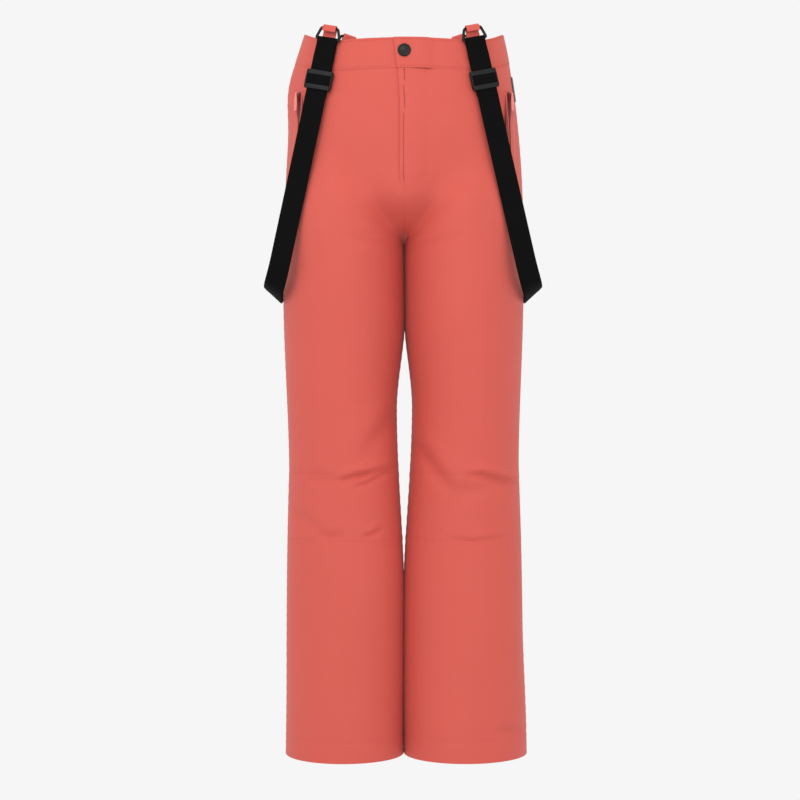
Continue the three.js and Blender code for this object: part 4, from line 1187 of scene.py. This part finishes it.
def ring_shape(top, down, out, across):
    """A thick flat bar bent into a frame with soft corners, narrower where the tab holds it."""
    half_x, radius = RING_WIDTH / 2 - RING_BAR / 2, 0.0022
    side_x, low_y = half_x - radius, radius - RING_LENGTH
    corners = [(side_x, -radius, 90), (side_x, low_y, 0), (-side_x, low_y, -90), (-side_x, -radius, 180)]
    rounds = []
    for x, y, start in corners:
        angle = np.radians(start - np.linspace(0, 90, 7))
        rounds.append(np.stack([x + radius * np.cos(angle), y + radius * np.sin(angle)], axis=1))
    line = np.concatenate(rounds)
    closed = np.concatenate([line, line[:1]])
    extra = [np.linspace(a, b, 4, endpoint=False) for a, b in zip(closed[:-1], closed[1:])]
    line = np.concatenate(extra)
    line[:, 0] *= mix(0.70, 1.0, clamp(-line[:, 1] / RING_LENGTH))
    centres = top + line[:, :1] * across - line[:, 1:] * down
    return loop_tube(centres, out, stadium(0.0016, 0.0012))


def tab_shape(top, down, out, across, reach):
    """A folded strip over the ring's top bar: a short leg in the ring, a long one sewn to the band."""
    radius = 0.00294
    angle = np.linspace(0, math.pi, 17)
    near = np.linspace(0.0040, 0, 6)[:-1]
    far = np.linspace(0, reach, 26)[1:]
    path = np.concatenate([
        top + near[:, None] * down + out * radius,
        top - (radius * np.sin(angle))[:, None] * down + (radius * np.cos(angle))[:, None] * out,
        top + far[:, None] * down - out * radius])
    way = unit(np.gradient(path, axis=0))
    return tube(path, across, np.cross(across, way), stadium(0.0079, 0.0007))


def adjuster_shape(middle, down, out, across):
    """A slide buckle: two flat bars in front, two behind, and sides that leave room for the webbing."""
    outline_x, outline_y, wall, rear_wall = 0.016, 0.011, 0.0017, 0.0007
    depth, shift = 0.0013 + (wall + rear_wall) / 2, (wall - rear_wall) / 2
    parts = []
    for y in (-0.0082, 0.0082):
        for face, thick in ((1, wall), (-1, rear_wall)):
            x = np.linspace(-outline_x + 0.0010, outline_x - 0.0010, 13)
            path = middle + x[:, None] * across + y * down + face * out * (0.0013 + thick / 2)
            parts.append((tube(path, down, out, stadium(0.0028, thick / 2)), 0))
    for hand in (-1, 1):
        y = np.linspace(-outline_y, outline_y, 19)
        bow = 0.0007 * (y / outline_y) ** 4
        path = middle + (hand * (outline_x - 0.0010 - bow))[:, None] * across
        path = path + y[:, None] * down + shift * out
        wide = stadium(depth, 0.0010)[:, ::-1]
        cap = np.sqrt(1 - 0.75 * clamp((np.abs(y) / outline_y - 0.86) / 0.14) ** 2)
        parts.append((tube(path, across, out, wide, scale=cap), 0))
    t = np.linspace(-1, 1, 25)
    hump = 0.00135 + 0.0017 * np.sqrt(np.clip(1 - t ** 2, 0, 1))
    path = middle + (0.0074 * t)[:, None] * down + hump[:, None] * out
    face_out = np.cross(across, unit(np.gradient(path, axis=0)))
    parts.append((tube(path, across, face_out, stadium(0.0139, 0.00045)), 1))
    return parts


def brace_pieces(name, side):
    """The webbing, its rings and tabs at both ends, and the adjuster. The webbing draws in a little
    where it passes through the front ring."""
    path, way, across = strap_path(name)
    front_top = np.array(FRONT_TOP[name])
    bar = front_top + RING_LENGTH * unit(np.array(FRONT_END[name]) - front_top)
    narrowed = 1 - 0.07 * bell(np.linalg.norm(path - bar, axis=1) / 0.012)
    section = stadium(STRAP_WIDTH / 2, STRAP / 2, top=11, turn=3)
    strap = tube(path, across, np.cross(across, way), section, scale=narrowed)
    ends = {
        "front": (np.array(FRONT_TOP[name]), np.array(FRONT_END[name]), FRONT_OUT, 0.032),
        "back": (np.array(BACK_TOP), np.array(BACK_END[name]), BACK_OUT, 0.024),
    }
    stitches = []
    for end, (top, foot, out, reach) in ends.items():
        down = unit(foot - top)
        sideways = run_across(out, down)
        ring = mirrored(ring_shape(top, down, out, sideways), side)
        node = f"brace_ring_{end}_{name}"
        single(f"ring_{end}_{name}", ring, black_plastic, "brace_" + name, "black_plastic", node)
        tab = mirrored(tab_shape(top, down, out, sideways, reach), side)
        node = f"brace_tab_{end}_{name}"
        single(f"tab_{end}_{name}", tab, shell_cloth, "trousers", "shell_cloth", node)
        if end == "back":
            box_points = []
            for y in (0.024, 0.031, 0.038):
                x = np.arange(-0.0095, 0.0096, 0.0032)
                box_points.append(top + x[:, None] * sideways + y * down + out * 0.00118)
            spots = np.concatenate(box_points)
            same = np.ones((len(spots), 1))
            stitches.append(small_runs(spots, same * sideways, same * out, 0.0026, 0.0005, 0.0005))
    parts = [(mirrored(strap, side), 0)] + [(mirrored(s, side), 1) for s in stitches]
    piece = build(f"webbing_{name}", parts, [strap_cloth, dark_thread])
    place(piece, "brace_" + name, "webbing", f"brace_webbing_{name}")
    top, foot = (np.array(p[name]) for p in (FRONT_TOP, FRONT_END))
    down = unit(foot - top)
    parts = adjuster_shape(top + ADJUSTER_DROP * down, down, FRONT_OUT, run_across(FRONT_OUT, down))
    parts = [(mirrored(shape, side), number) for shape, number in parts]
    piece = build(f"slide_buckle_{name}", parts, [black_plastic, strap_cloth])
    place(piece, "adjuster_" + name, "black_plastic", f"adjuster_{name}")


# ---- Topstitching
def stitch_line(side, u, z, lift=0.0, pitch=0.0034, hang=1.0):
    """A row of stitches along a line on the cloth. Places are taken every pitch along its length."""
    points = wrapped(u, z) + outward(u, z) * (hang * drape(side, u, z) + lift)[:, None]
    passed = np.concatenate([[0], np.cumsum(np.linalg.norm(np.diff(points, axis=0), axis=1))])
    at = np.arange(pitch, passed[-1] - pitch / 2, pitch)
    pick = lambda values: np.stack([np.interp(at, passed, values[:, i]) for i in range(3)], axis=1)
    ways = unit(pick(np.gradient(points, axis=0)))
    outs = unit(pick(outward(u, z)))
    return mirrored(small_runs(pick(points), ways, outs, pitch * 0.78, 0.00042, 0.00042, sink=0.9), side)


def stitching(name, side):
    """Rows at the hem, the knee seams and the side seam."""
    whole = np.linspace(0.002, 0.998, 900)
    rows = [
        stitch_line(side, whole, 0.0245 + 0 * whole),
        stitch_line(side, whole, knee_edge(whole, 1) + 0.0035),
        stitch_line(side, whole, knee_edge(whole, -1) - 0.0035),
    ]
    tall = np.linspace(0.005, 0.78, 900)
    rows.append(stitch_line(side, 0.5 + from_middle(0.0032) + 0 * tall, tall))
    piece = build(f"topstitching_{name}", [(row, 0) for row in rows], [thread])
    place(piece, "knee_" + name, "shell_cloth")


def band_stitching():
    """Rows along the band's edges."""
    rows = []
    for side, start, lifting in ((-1, from_middle(0.018), None), (1, -from_middle(0.009), tab_lift)):
        u = np.linspace(start, 0.495, 700)
        for height in (0.0025, 0.0325):
            lift = 0.0003 + (0 * u if lifting is None else lifting(u))
            rows.append((stitch_line(side, u, band_bottom(u) + height, lift=lift, hang=0.0), side))
    for name, body in (("right", "trousers"), ("left", "fly_bend")):
        parts = [(row, 0) for row, side in rows if side == SIDES[name]]
        place(build(f"band_stitching_{name}", parts, [thread]), body, "shell_cloth")


# ---- Label
def label_piece():
    """A blank woven strip sewn by the side seam."""
    rows = [lambda u, s=s: mix(CROTCH, band_bottom(u), s) for s in (0.79, 0.93)]
    shape = rows_panel(1, (0.4375, 0.485), *rows, 0.0012, 0.0010, step=0.0016, height=0.026)
    single("blank_label", shape, label_cloth, "trousers", "label", "side_label")


for name, side in SIDES.items():
    shell_pieces(name, side)
    lining_pieces(name, side)
    gaiter_pieces(name, side)
    pocket_pieces(name, side)
    brace_pieces(name, side)
    stitching(name, side)
waistband_pieces()
fly_pieces()
snap_pieces()
band_stitching()
label_piece()


def floor_disc():
    """A pale round floor well below the hems, as the object is held up."""
    radius = np.linspace(0, 1.5, 13)
    profile = [(r, 0.0) for r in radius] + [(1.5, -0.01), (0, -0.01)]
    disc = turned_shape(profile, (0, 0, WAIST - 1.44), (0, 0, 1), sides=96)
    finish, tree, shader = new_finish("floor", Roughness=0.9)
    base = blend_colour(tree, patchy(tree, 2.0), (0.84, 0.84, 0.84, 1), (0.87, 0.87, 0.87, 1))
    tree.links.new(base, shader.inputs["Base Color"])
    build("floor", [(disc, 0)], [finish])


floor_disc()
